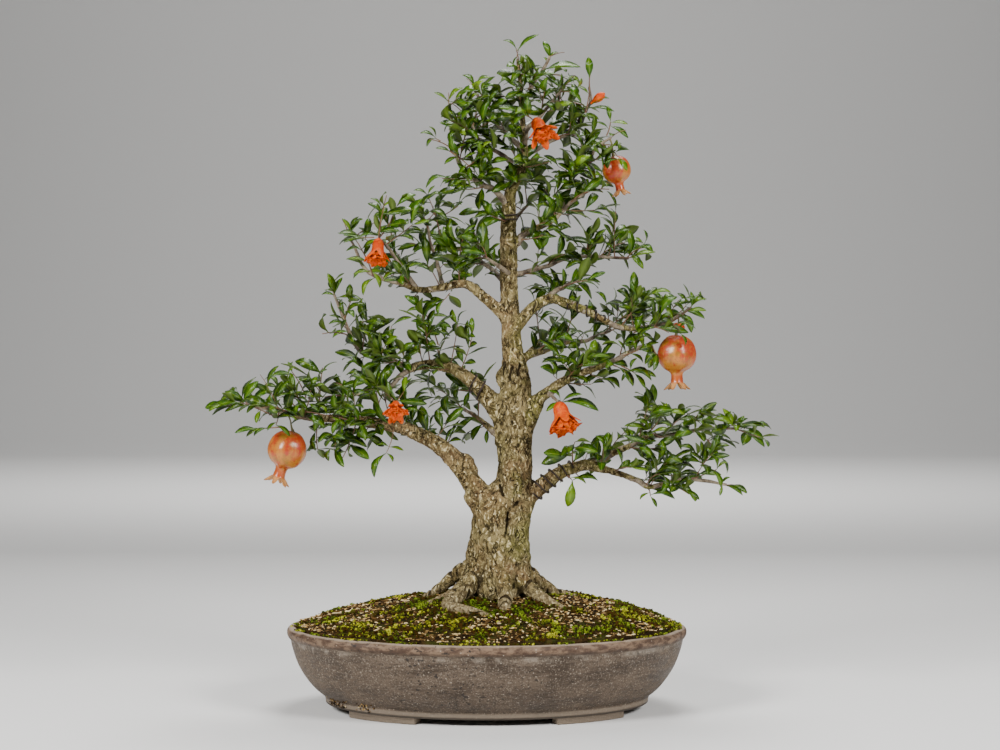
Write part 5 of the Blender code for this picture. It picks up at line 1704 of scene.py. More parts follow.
# For each sprig its depth at foot and tip, then its stem and its leaves, from point to point of the picture
SPRIGS: dict[str, tuple[tuple[Pair, Quad, tuple[Quad, ...]], ...]] = {
    "trunk": (
        ((1, 1), (520, 90, 516, 48), ((518, 51, 541, 34), (513, 50, 498, 40), (518, 54, 537, 72),
         (515, 56, 510, 66), (512, 70, 497, 68), (519, 78, 527, 68))),
    ),
    "crown_tip": (
        ((-6, -6), (525, 95, 550, 60), ((550, 60, 542, 41), (549, 61, 559, 53), (546, 65, 541, 57),
         (543, 71, 581, 68), (541, 73, 557, 88), (533, 80, 520, 76))),
    ),
    "crown_middle": (
        ((-4, -4), (585, 114, 589, 78), ((589, 79, 588, 56), (588, 95, 576, 86))),
        ((-12, -12), (556, 112, 560, 91), ((562, 88, 584, 79), (562, 91, 578, 92), (561, 93, 584, 107),
         (559, 92, 549, 82))),
    ),
    "crown_right": (
        ((9, 9), (575, 128, 589, 107), ((590, 108, 617, 112), (591, 106, 614, 95), (583, 112, 572, 101))),
    ),
    "crown_back_left": (
        ((14, 14), (500, 120, 474, 85), ((473, 86, 459, 72), (475, 86, 494, 76), (474, 88, 452, 100),
         (479, 95, 497, 92), (480, 98, 468, 112))),
    ),
    "crown_left": (
        ((-9, -9), (454, 138, 448, 101), ((447, 104, 432, 95), (450, 103, 466, 88), (450, 108, 469, 103),
         (451, 120, 438, 119), (452, 122, 467, 116))),
        ((-12, -12), (441, 143, 436, 140), ((436, 140, 419, 135), (436, 140, 429, 128),
         (438, 141, 426, 150))),
        ((-16, -19), (450, 153, 470, 169), ((451, 154, 435, 150), (454, 156, 467, 145), (458, 159, 443, 167),
         (462, 163, 477, 155), (466, 166, 458, 181), (470, 169, 486, 171), (470, 169, 472, 185))),
    ),
    "right_upper_rise": (
        ((-20, -24), (607, 149, 610, 152), ((610, 152, 606, 173), (610, 152, 622, 146),
         (609, 150, 600, 159))),
        ((-20, -33), (607, 149, 617, 163), ((617, 163, 601, 168), (617, 162, 625, 176), (612, 156, 628, 153),
         (613, 157, 600, 152))),
        ((-8, -8), (606, 137, 610, 123), ((610, 123, 607, 105), (610, 124, 628, 126), (609, 127, 628, 140),
         (608, 131, 593, 124))),
    ),
    "left_high_rise": (
        ((14, 14), (440, 240, 427, 194), ((425, 196, 409, 190), (429, 194, 447, 196), (428, 192, 436, 182),
         (427, 203, 401, 211), (430, 207, 448, 202), (434, 220, 421, 226))),
    ),
    "left_high_spur": (
        ((-20, -20), (393, 238, 383, 211), ((382, 211, 370, 200), (385, 209, 399, 202), (382, 216, 371, 220),
         (386, 216, 401, 215), (389, 226, 378, 236))),
    ),
    "left_high": (
        ((-11, -11), (383, 254, 366, 240), ((366, 241, 343, 245), (365, 238, 358, 226), (367, 238, 371, 214),
         (369, 247, 362, 260))),
        ((-11, -11), (378, 280, 366, 268), ((366, 268, 346, 260), (366, 270, 352, 281),
         (376, 279, 362, 299))),
        ((-22, -22), (375, 278, 353, 235), ((373, 274, 353, 276), (372, 273, 381, 291), (368, 264, 348, 259),
         (367, 262, 384, 253), (363, 254, 344, 253), (361, 251, 377, 241), (357, 244, 342, 237),
         (356, 241, 375, 236), (353, 235, 344, 220), (353, 235, 362, 222))),
    ),
    "left_mid_rise": (
        ((8, 8), (350, 342, 334, 294), ((334, 292, 327, 270), (336, 291, 344, 273), (333, 297, 317, 295),
         (336, 297, 363, 299), (343, 319, 367, 302), (341, 322, 324, 316), (342, 326, 322, 325),
         (345, 332, 327, 339))),
        ((4, 4), (380, 350, 371, 338), ((371, 338, 377, 318), (374, 341, 392, 333), (372, 340, 358, 330))),
    ),
    "left_mid": (
        ((10, 10), (438, 345, 418, 302), ((418, 303, 409, 301), (420, 303, 435, 303), (421, 314, 401, 312),
         (423, 318, 444, 317), (424, 326, 403, 323), (426, 332, 447, 330))),
    ),
    "left_low": (
        ((-20, -20), (275, 415, 243, 402), ((244, 404, 210, 410), (249, 406, 226, 413), (246, 401, 263, 378),
         (252, 405, 276, 389), (262, 410, 258, 424))),
        ((2, 2), (297, 410, 278, 388), ((277, 389, 266, 376), (279, 388, 291, 380), (276, 391, 258, 389),
         (283, 396, 266, 405), (286, 399, 300, 392))),
        ((12, 12), (305, 398, 291, 372), ((290, 372, 285, 361), (292, 372, 293, 360), (290, 376, 265, 377),
         (293, 377, 313, 384))),
        ((-30, -30), (305, 418, 314, 390), ((315, 388, 322, 373), (313, 389, 304, 381), (316, 390, 331, 384),
         (310, 402, 298, 397), (311, 404, 324, 412))),
        ((-34, -34), (285, 426, 262, 428), ((260, 426, 237, 430), (266, 430, 249, 439),
         (271, 431, 256, 440))),
        ((-36, -42), (283, 412, 281, 424), ((281, 424, 295, 436), (281, 421, 271, 430),
         (282, 417, 303, 420))),
        ((-34, -37), (310, 411, 336, 416), ((311, 411, 299, 398), (314, 412, 322, 429), (320, 413, 334, 400),
         (324, 414, 316, 432), (329, 415, 319, 401), (333, 415, 349, 425), (336, 416, 350, 408))),
        ((-36, -38), (342, 417, 364, 422), ((344, 417, 335, 434), (346, 418, 356, 403), (352, 419, 338, 411),
         (355, 420, 367, 434), (361, 421, 356, 404), (364, 422, 381, 425), (364, 422, 369, 440))),
        ((-22, -26), (395, 428, 388, 452), ((388, 452, 375, 479), (388, 452, 395, 462), (390, 446, 405, 450),
         (390, 446, 375, 445))),
    ),
    "right_upper_back": (
        ((14, 14), (615, 256, 632, 257), ((633, 256, 659, 250), (632, 258, 645, 271), (629, 255, 641, 246),
         (624, 254, 634, 240))),
    ),
    "right_high": (
        ((-36, -38), (670, 325, 676, 334), ((676, 334, 682, 348), (675, 332, 662, 328),
         (674, 331, 686, 323))),
        ((-10, -10), (668, 322, 685, 306), ((687, 305, 709, 299), (686, 304, 676, 290), (686, 309, 699, 318),
         (682, 314, 706, 323), (684, 318, 696, 341))),
        ((-2, -2), (655, 318, 660, 302), ((660, 301, 652, 290), (659, 303, 640, 291), (661, 302, 678, 296),
         (657, 312, 644, 318))),
        ((-20, -22), (632, 333, 658, 326), ((634, 332, 641, 313), (637, 332, 652, 343), (643, 330, 631, 317),
         (645, 329, 660, 316), (652, 327, 658, 308), (655, 327, 674, 332), (658, 326, 671, 313))),
        ((-22, -22), (669, 323, 689, 308), ((671, 322, 662, 306), (675, 319, 692, 326), (681, 314, 668, 303),
         (684, 312, 703, 312), (689, 308, 706, 299), (689, 308, 688, 291))),
    ),
    "right_mid": (
        ((-20, -20), (620, 366, 633, 373), ((633, 372, 656, 377), (632, 374, 643, 390), (629, 370, 636, 356),
         (626, 372, 618, 384))),
        ((-22, -22), (622, 356, 642, 348), ((624, 355, 615, 340), (627, 354, 642, 364), (633, 352, 629, 335),
         (637, 350, 654, 356), (642, 348, 658, 343), (642, 348, 639, 332))),
        ((-8, -8), (552, 398, 562, 402), ((562, 401, 583, 393), (563, 402, 602, 412), (561, 402, 545, 412),
         (560, 400, 546, 388))),
    ),
    "right_low_back": (
        ((4, 4), (712, 428, 740, 430), ((741, 429, 768, 426), (742, 431, 769, 450), (739, 427, 745, 411),
         (735, 427, 722, 405), (729, 429, 716, 412), (724, 430, 730, 411))),
        ((6, 6), (652, 430, 662, 416), ((661, 416, 643, 409), (663, 415, 668, 401), (664, 417, 690, 416),
         (657, 422, 672, 428))),
        ((2, 2), (660, 438, 649, 431), ((649, 430, 622, 425), (651, 429, 634, 416), (652, 431, 672, 428))),
    ),
    "right_low_front": (
        ((-24, -24), (688, 478, 714, 468), ((715, 466, 728, 459), (714, 465, 700, 440), (710, 472, 696, 466),
         (712, 474, 719, 492))),
        ((-23, -23), (700, 479, 721, 484), ((721, 484, 741, 495), (719, 485, 716, 496),
         (718, 482, 728, 474))),
        ((-18, -18), (646, 484, 649, 495), ((649, 494, 676, 498), (650, 496, 656, 507),
         (647, 492, 636, 500))),
    ),
    "right_low": (
        ((-10, -10), (566, 474, 572, 480), ((572, 480, 567, 508), (569, 478, 586, 484),
         (574, 480, 602, 480))),
    ),
    "back_low": (
        ((40, 40), (492, 436, 463, 408), ((462, 408, 431, 413), (463, 411, 441, 428), (464, 407, 470, 390),
         (472, 420, 450, 437), (478, 428, 466, 446), (484, 432, 483, 448))),
    ),
}


def at_picture(px: float, py: float, depth: float = 0.0) -> Vector:
    """The place of a point measured on the front picture, at a depth in millimetres."""
    return Vector((PIXEL * (px - PICTURE_MIDDLE), depth, PIXEL * (PICTURE_GROUND - py))) * MM


def within(outline: Sequence[Pair], x: float, z: float) -> bool:
    """Whether a front-view point lies in an outline, all in millimetres.

    Args:
        outline: The outline's points.
        x: The point's place across.
        z: Its height.

    Returns:
        True inside the outline.
    """
    inside = False
    for (x1, z1), (x2, z2) in zip(outline, (*outline[1:], outline[0])):
        if (z1 > z) != (z2 > z) and x < (x2 - x1) * (z - z1) / (z2 - z1) + x1:
            inside = not inside
    return inside


class Age(Enum):
    """How old a leaf is, which sets its size and its tint."""

    YOUNG = (0.88, 0.72)
    RIPE = (1.0, 0.42)
    OLD = (1.06, 0.12)


@dataclass
class Shoot:
    """A bowed stem with nodes that carry opposite leaves.

    Attributes:
        start: Where it leaves the wood.
        way: From the start to the tip.
        bow: How far its middle bows out.
    """

    start: Vector
    way: Vector
    bow: Vector

    def at(self, t: float) -> Vector:
        """The stem's place at t."""
        return self.start + self.way * t + self.bow * (4 * t * (1 - t))

    def along(self, t: float) -> Vector:
        """The stem's direction at t."""
        return (self.way + self.bow * (4 - 8 * t)).normalized()

    def route(self, radius: float) -> np.ndarray:
        """Rows of (x, y, z, radius) for its tube."""
        return np.array([(*self.at(t), radius * (1 - 0.45 * t)) for t in (0, 0.25, 0.5, 0.75, 1.0)])


@dataclass
class Foliage:
    """All leafy stems, one piece for each limb.

    Attributes:
        depth: How far leaves reach to the front and the back.
        crown: Height of the crown's foot in millimetres; above it leaves are denser and lighter.
        clear: Windows (x0, x1, z0, z1) in front of the wood that stay free of leaves, in millimetres.
    """

    leaf: Finish = LeafFinish()
    stem: Finish = TwigFinish("young_stem", 0.55, dark=(0.090, 0.030, 0.014), light=(0.210, 0.110, 0.045))
    length: float = 27.5 * MM
    width: float = 0.35
    spacing: float = 15.5 * MM
    node_step: float = 9.5 * MM
    gap: int = 15
    stem_radius: float = 0.75 * MM
    depth: float = 138 * MM
    crown: float = 522.0
    cell: float = 11 * MM
    per_cell: int = 2
    clear: tuple[Quad, ...] = (
        (4, 52, 150, 423), (-80, -7, 215, 283), (50, 112, 203, 243), (-32, 13, 308, 340), (-27, 13, 396, 428),
        (33, 75, 388, 418), (43, 78, 300, 330), (78, 140, 372, 400), (14, 40, 423, 520),
        (-125, -95, 438, 466), (38, 70, 553, 586), (-103, -77, 277, 304), (60, 95, 268, 304),
        (118, 143, 505, 553), (100, 124, 602, 622), (-222, -180, 228, 276), (168, 210, 322, 372),
        (116, 170, 216, 238), (-76, -30, 410, 430),
    )
    seed: int = 5

    def masters(self) -> list[Mesh]:
        """Five blades, one unit long, from nearly flat to well arched, with a map across and along."""
        made = []
        for k, curl in enumerate((0.3, 0.7, 1.1, 1.5, 1.9)):
            bm = bmesh.new()
            bmesh.ops.create_uvsphere(bm, u_segments=4, v_segments=9, radius=1.0)
            uv = bm.loops.layers.uv.new("blade")
            for face in bm.faces:
                below = face.calc_center_median().y < 0
                for loop in face.loops:
                    x, z = loop.vert.co.x, max(-1, min(1, loop.vert.co.z))
                    edge = abs(x) > 0.3 * math.sin(math.acos(z))
                    across = 0.5 + (math.copysign(0.49, x) if edge else 0)
                    loop[uv].uv = (across + (2 if below else 0), (z + 1) / 2)
            for vert in bm.verts:
                self.shape(vert, curl)
            made.append(master_mesh(f"blade_{k}", bm))
        return made

    def shape(self, vert: bmesh.types.BMVert, curl: float) -> None:
        """Moves a ball's vertex to its place on the blade.

        Args:
            vert: The vertex.
            curl: How much the blade is arched.
        """
        t = (vert.co.z + 1) / 2
        ring = math.sqrt(max(0.0, 1 - vert.co.z**2))
        side, face = (vert.co.x / ring, vert.co.y / ring) if ring > 1e-6 else (0.0, 0.0)
        blade = max(0.0, (t - 0.07) / 0.93)
        half = self.width / 2 * math.sin(math.pi * blade**1.12) ** 0.72 if 0 < blade < 1 else 0.0
        half = max(half, 0.022 * (1 - t))
        arch = curl * 0.52 * (t - t * t)
        wave = 0.010 * math.sin(9 * t + curl * 5) * abs(side)
        fold = 0.16 * abs(side) * half
        vert.co = Vector((side * half, t * (1 - 0.06 * curl * t), arch + fold + wave + 0.012 * face))

    def shoots_of(self, limb: str) -> list[tuple[Shoot, bool]]:
        """Every shoot of a limb, with True for the ones that the model holds too.

        Args:
            limb: The limb's name, or trunk.

        Returns:
            The main stems first, then the finer shoots and their side shoots.
        """
        route = limb_route(limb)
        rng = random.Random(f"{limb} {self.seed}")
        shoots = []
        for owner, share, way in STEMS:
            if owner == limb:
                start, _, _ = point_on(route, share)
                tip = Vector(way) * MM
                bow = Vector((rng.uniform(-0.05, 0.05), rng.uniform(-0.05, 0.05), 0.06)) * tip.length
                shoots.append((Shoot(start, tip, bow), True))
        total = float(np.linalg.norm(np.diff(route[:, :3], axis=0), axis=1).sum())
        bare = 0.74 if limb == "trunk" else LIMBS[limb].bare
        count = max(1, round(total * (1 - bare) / self.spacing))
        for k in range(count):
            share = bare + (1 - bare) * (k + rng.uniform(0.1, 0.9)) / count
            start, ahead, _ = point_on(route, share)
            away = radial(ahead, 2.4 * k + rng.uniform(-0.5, 0.5))
            away = (away * Vector((1.0, 1.3, 1.0)) + UP * 0.25).normalized()
            length = rng.uniform(18, 44) * MM
            way = (ahead * rng.uniform(0.3, 0.9) + away).normalized() * length
            shoots.append((Shoot(start, way, UP * (0.07 * length)), False))
        sides = []
        for shoot, _ in shoots:
            if shoot.way.length > 30 * MM:
                along = shoot.along(0.45)
                away = radial(along, rng.uniform(0, math.tau))
                way = (along * 0.6 + away * 0.8 + UP * 0.15).normalized() * rng.uniform(11, 20) * MM
                sides.append((Shoot(shoot.at(0.45), way, Vector()), False))
        return shoots + sides

    def wanted(self, tip: Vector) -> bool:
        """Whether a leaf's or a shoot's tip lies where the tree is leafy."""
        x, y, z = tip / MM
        if abs(tip.y) > self.depth or not any(within(pad, x, z) for pad in PADS):
            return False
        return y > 2 or not any(x0 < x < x1 and z0 < z < z1 for x0, x1, z0, z1 in self.clear)

    def leaf_place(self, foot: Vector, way: Vector, size: float, rng: random.Random,
                   top: Vector | None = None) -> Matrix:
        """Where a leaf goes: its foot on the stem, its rib along the way, its upper side up.

        Args:
            foot: The point on the stem.
            way: The way of its midrib.
            size: Its length.
            rng: The limb's own draw.
            top: Where its upper side faces, if not up and outwards.

        Returns:
            The blade's matrix.
        """
        outward = Vector((foot.x - 0.022, foot.y, 0)).normalized()
        stray = Vector([rng.uniform(-0.38, 0.38) for _ in range(3)])
        top = top or UP * 0.58 + outward * 0.42 - BACK * 0.38 + stray
        side = way.cross(top).normalized()
        turn = Matrix((side, way, side.cross(way))).transposed().to_4x4()
        narrow = rng.uniform(0.80, 1.14)
        return Matrix.Translation(foot) @ turn @ Matrix.Diagonal((size * narrow, size, size, 1))

    def leaves_of(self, shoot: Shoot, rng: random.Random, crowd: Counter[tuple[int, int, int]]
                  ) -> list[tuple[Matrix, float]]:
        """A shoot's leaves: opposite pairs, each turned a quarter from the last, and a tip.

        Args:
            shoot: The shoot; its last pair opens across the front view.
            rng: The limb's own draw.
            crowd: How many leaves lie in each cell so far; full cells take no more.

        Returns:
            The place and the tint of each leaf that stays inside the leafy outlines.
        """
        leafy = min(0.84, 0.046 / shoot.way.length)
        nodes = max(2, round(shoot.way.length * leafy / self.node_step))
        tip = shoot.along(1.0)
        across, ahead = radial(tip, 0), radial(tip, math.pi / 2)
        turn = math.atan2(ahead.x, across.x) - nodes * math.pi / 2 + rng.gauss(0, 0.5)
        leaves = []
        for k in range(nodes + 1):
            t = 1 - leafy + leafy * k / nodes
            last = k == nodes
            along, foot = shoot.along(t), shoot.at(t)
            ways = []
            for flip in (0, math.pi):
                away = radial(along, turn + k * math.pi / 2 + flip)
                spread = (0.55 if last else 1.15 - 0.35 * t) + rng.uniform(-0.18, 0.18)
                ways.append(along * math.cos(spread) + away * math.sin(spread))
            if last and rng.random() < 0.35:
                ways.append(along.copy())
            for way in ways:
                if rng.random() < 0.10:
                    continue
                way.z = way.z * (0.35 if way.z < 0 else 0.9) + rng.uniform(-0.25, 0.22)
                way.normalize()
                young = last and rng.random() < 0.45
                age = Age.YOUNG if young else Age.OLD if rng.random() < 0.4 else Age.RIPE
                scale, tint = age.value
                size = self.length * scale * rng.uniform(0.72, 1.15)
                middle = foot + way * size * 0.5
                high = middle.z > self.crown * MM
                cell = tuple(round(value / self.cell) for value in middle * Vector((1, 0.25, 1)))
                room = crowd[cell] < self.per_cell + high
                if room and self.wanted(foot + way * size * 0.9) and self.wanted(middle):
                    crowd[cell] += 1
                    tint += rng.uniform(-0.15, 0.2) - (0.0 if high else 0.12)
                    place = self.leaf_place(foot, way, size, rng)
                    leaves.append((place, min(1.0, max(0.0, tint))))
        return leaves

    def fillers(self, taken: list[Pair]) -> dict[str, list[Shoot]]:
        """Shoots that reach from the nearest limb into the gaps of the leafy outlines.

        Args:
            taken: Front-view places, in metres, that other shoots fill.

        Returns:
            The shoots by limb.
        """
        rng = random.Random(self.seed + 40)
        spots = [(name, Vector(row[:3])) for name in ("trunk", *LIMBS)
                 for row in smooth_route(limb_route(name), 3)]
        tree = finder([spot for _, spot in spots])
        made: dict[str, list[Shoot]] = {}
        cells = [(x, z) for z in range(200, 690, self.gap) for x in range(-280, 290, self.gap)]
        cells += [(x + 8, z + 8) for x, z in cells if z > self.crown - self.gap]
        for cell_x, cell_z in cells:
            x, z = cell_x + rng.uniform(-6, 6), cell_z + rng.uniform(-6, 6)
            y = rng.uniform(-46, 34) if z < self.crown else rng.uniform(-34, 6)
            apart = self.gap * (0.72 if z < self.crown else 0.5)
            goal = Vector((x, y, z)) * MM
            if any(math.hypot(a / MM - x, b / MM - z) < apart for a, b in taken) or not self.wanted(goal):
                continue
            near = min(tree.find_n(goal, 40), key=lambda hit: hit[2] + 2 * max(0.0, hit[0].z - goal.z))
            name, start = spots[near[1]]
            way = goal - start
            short = 12 * MM < way.length < 24 * MM
            if short or 12 * MM < way.length < 47 * MM and self.wanted(start + way * 0.5):
                bow = Vector((rng.uniform(-0.06, 0.06), rng.uniform(-0.06, 0.06), -0.03)) * way.length
                made.setdefault(name, []).append(Shoot(start, way, bow))
                taken.append((goal.x, goal.z))
        return made

    def dress_sprigs(self, limb: str, bunch: Scatter, blades: list[Mesh], rng: random.Random
                     ) -> list[np.ndarray]:
        """Puts on the sprigs at the outline, leaf by leaf.

        Args:
            limb: The limb that carries them.
            bunch: The limb's scatter.
            blades: The master blades.
            rng: The limb's own draw.

        Returns:
            The courses of the sprigs' stems.
        """
        stems = []
        for (near, far), (x0, y0, x1, y1), leaves in SPRIGS.get(limb, ()):
            start, tip = at_picture(x0, y0, near), at_picture(x1, y1, far)
            stem = Shoot(start, tip - start, Vector((0.05, 0, 0)) * (tip - start).length)
            stems.append(stem.route(self.stem_radius))
            for foot_x, foot_y, tip_x, tip_y in leaves:
                foot = at_picture(foot_x, foot_y)
                share = (foot - start).xz.dot(stem.way.xz) / stem.way.xz.length_squared
                reach = at_picture(tip_x, tip_y, rng.uniform(-9, 4)) - foot
                tilt = Vector((rng.uniform(-0.25, 0.25), -0.55, 0.75))
                grown = stem.at(min(1.0, max(0.0, share)))
                place = self.leaf_place(grown, reach.normalized(), reach.length, rng, tilt)
                bunch.add(rng.choice(blades[1:]), place, rng.uniform(0.35, 0.85))
        return stems

    def build(self) -> None:
        """Builds one piece of stems and leaves for each limb."""
        blades = self.masters()
        crowd: Counter[tuple[int, int, int]] = Counter()
        grown = {}
        for limb in ("trunk", *LIMBS):
            grown[limb] = [(shoot, held) for shoot, held in self.shoots_of(limb)
                           if held or self.wanted(shoot.at(1.0))]
        all_shoots = itertools.chain(*grown.values())
        taken = [tuple(shoot.at(t).xz) for shoot, _ in all_shoots for t in (0.6, 1.0)]
        for _, (x0, y0, x1, y1), _ in itertools.chain(*SPRIGS.values()):
            taken += [tuple(at_picture(x0 + (x1 - x0) * t, y0 + (y1 - y0) * t).xz) for t in (0.5, 1.0)]
        for limb, extra in self.fillers(taken).items():
            grown[limb] += [(shoot, False) for shoot in extra]
        for limb, shoots in grown.items():
            rng = random.Random(f"{limb} leaves {self.seed}")
            bunch = Scatter()
            stems = self.dress_sprigs(limb, bunch, blades, rng)
            for shoot, held in shoots:
                leaves = self.leaves_of(shoot, rng, crowd)
                if len(leaves) < (3 if shoot.way.length < 26 * MM else 5) and not held:
                    continue
                for place, tint in leaves:
                    bunch.add(rng.choice(blades), place, tint)
                stems.append(shoot.route(self.stem_radius * (1.0 if shoot.way.length > 22 * MM else 0.75)))
            if stems:
                bunch.add_mesh(tubes(stems, 4), 1)
                nodes = [f"spray_{number:02d}_{limb}" for number, (owner, _, _) in enumerate(STEMS, 1)
                         if owner == limb]
                finished(f"foliage_{limb}", bunch.bm, [self.leaf, self.stem], "leaf", nodes, recalc=False)


# Fruit, flowers, buds and wires


@dataclass(frozen=True)
class FruitPlan:
    """Where a fruit hangs, in millimetres, which way its crown leans, and what holds it."""

    centre: Triple
    radius: float
    lean: float
    limb: str
    share: float


@dataclass
class Fruits:
    """The three fruits with their crowns and stalks."""

    skin: Finish = FruitFinish()
    stalk: Finish = TwigFinish("green_stalk", 0.6, dark=(0.05, 0.04, 0.010), light=(0.15, 0.14, 0.03))
    plans: dict[str, FruitPlan] = field(default_factory=lambda: {
        "fruit_left": FruitPlan((-197.5, -24, 259.0), 19.2, -0.33, "left_low", 0.86),
        "fruit_right": FruitPlan((189, -14, 354.0), 19.3, 0.02, "right_high", 0.93),
        "fruit_top": FruitPlan((129.5, -6, 538.5), 14.2, 0.20, "right_upper_rise", 0.98),
    })
    crown: Lobes = Lobes(6, (0.3, 1.46), (0.325, 1.44), 0.10, 2.4)
    stalk_radii: Quad = (1.0, 0.8, 1.0, 1.9)

    def body(self) -> BMesh:
        """A fruit of radius 1 with its crown towards +Z: flared pointed lobes round a cup of stamens."""
        ball = eased([(0, -0.93), (0.16, -0.955), (0.50, -0.87), (0.86, -0.52), (1.0, 0.0), (0.92, 0.43),
                      (0.69, 0.75), (0.45, 0.89), (0.330, 0.99), (0.300, 1.17), (0.315, 1.42)], 3)
        flare = [(0.35, 1.52), (0.41, 1.63), (0.48, 1.73), (0.58, 1.80), (0.70, 1.83), (0.71, 1.86),
                 (0.58, 1.84), (0.46, 1.78), (0.38, 1.69), (0.31, 1.58), (0.25, 1.48), (0.12, 1.43),
                 (0, 1.42)]
        bm = turned(ball + flare, self.crown.count * 12)
        for vert in bm.verts:
            if not self.crown.part(vert.co) and vert.co.z < 1.0:
                ribs = math.cos(5 * math.atan2(vert.co.y, vert.co.x))
                vert.co *= 1 + 0.018 * ribs + 0.03 * noise.noise(vert.co * 1.6)
        set_levels(bm, "height", lambda vert: vert.co.z)
        return bm

    def build(self) -> None:
        """Builds each fruit on its stalk."""
        for name, plan in self.plans.items():
            down = Vector((plan.lean, 0, -1)).normalized()
            centre, radius = Vector(plan.centre) * MM, plan.radius * MM
            bm = self.body()
            posed(bm, centre, down, radius, random.Random(name).uniform(0, 1.0))
            hold, _, _ = point_on(limb_route(plan.limb), plan.share)
            top = centre - down * radius * 0.93
            line = [hold, hold.lerp(top, 0.35) + Vector((0.001, 0, 0)), hold.lerp(top, 0.7), top]
            route = np.array([(*point, r * MM) for point, r in zip(line, self.stalk_radii)])
            fruit = Scatter(bm)
            fruit.add_mesh(tubes([smooth_route(route, 4)], 8), 1)
            finished(f"{name}_whole", bm, [self.skin, self.stalk], "fruit_skin", [name])


@dataclass(frozen=True)
class FlowerPlan:
    """A flower: the limb whose tip it hangs on, the way it faces, its length in mm and its build."""

    limb: str
    way: Triple
    length: float
    open: float = 1.0
    calyx: float = 1.0
    girth: float = 1.0
    outer: int = 3


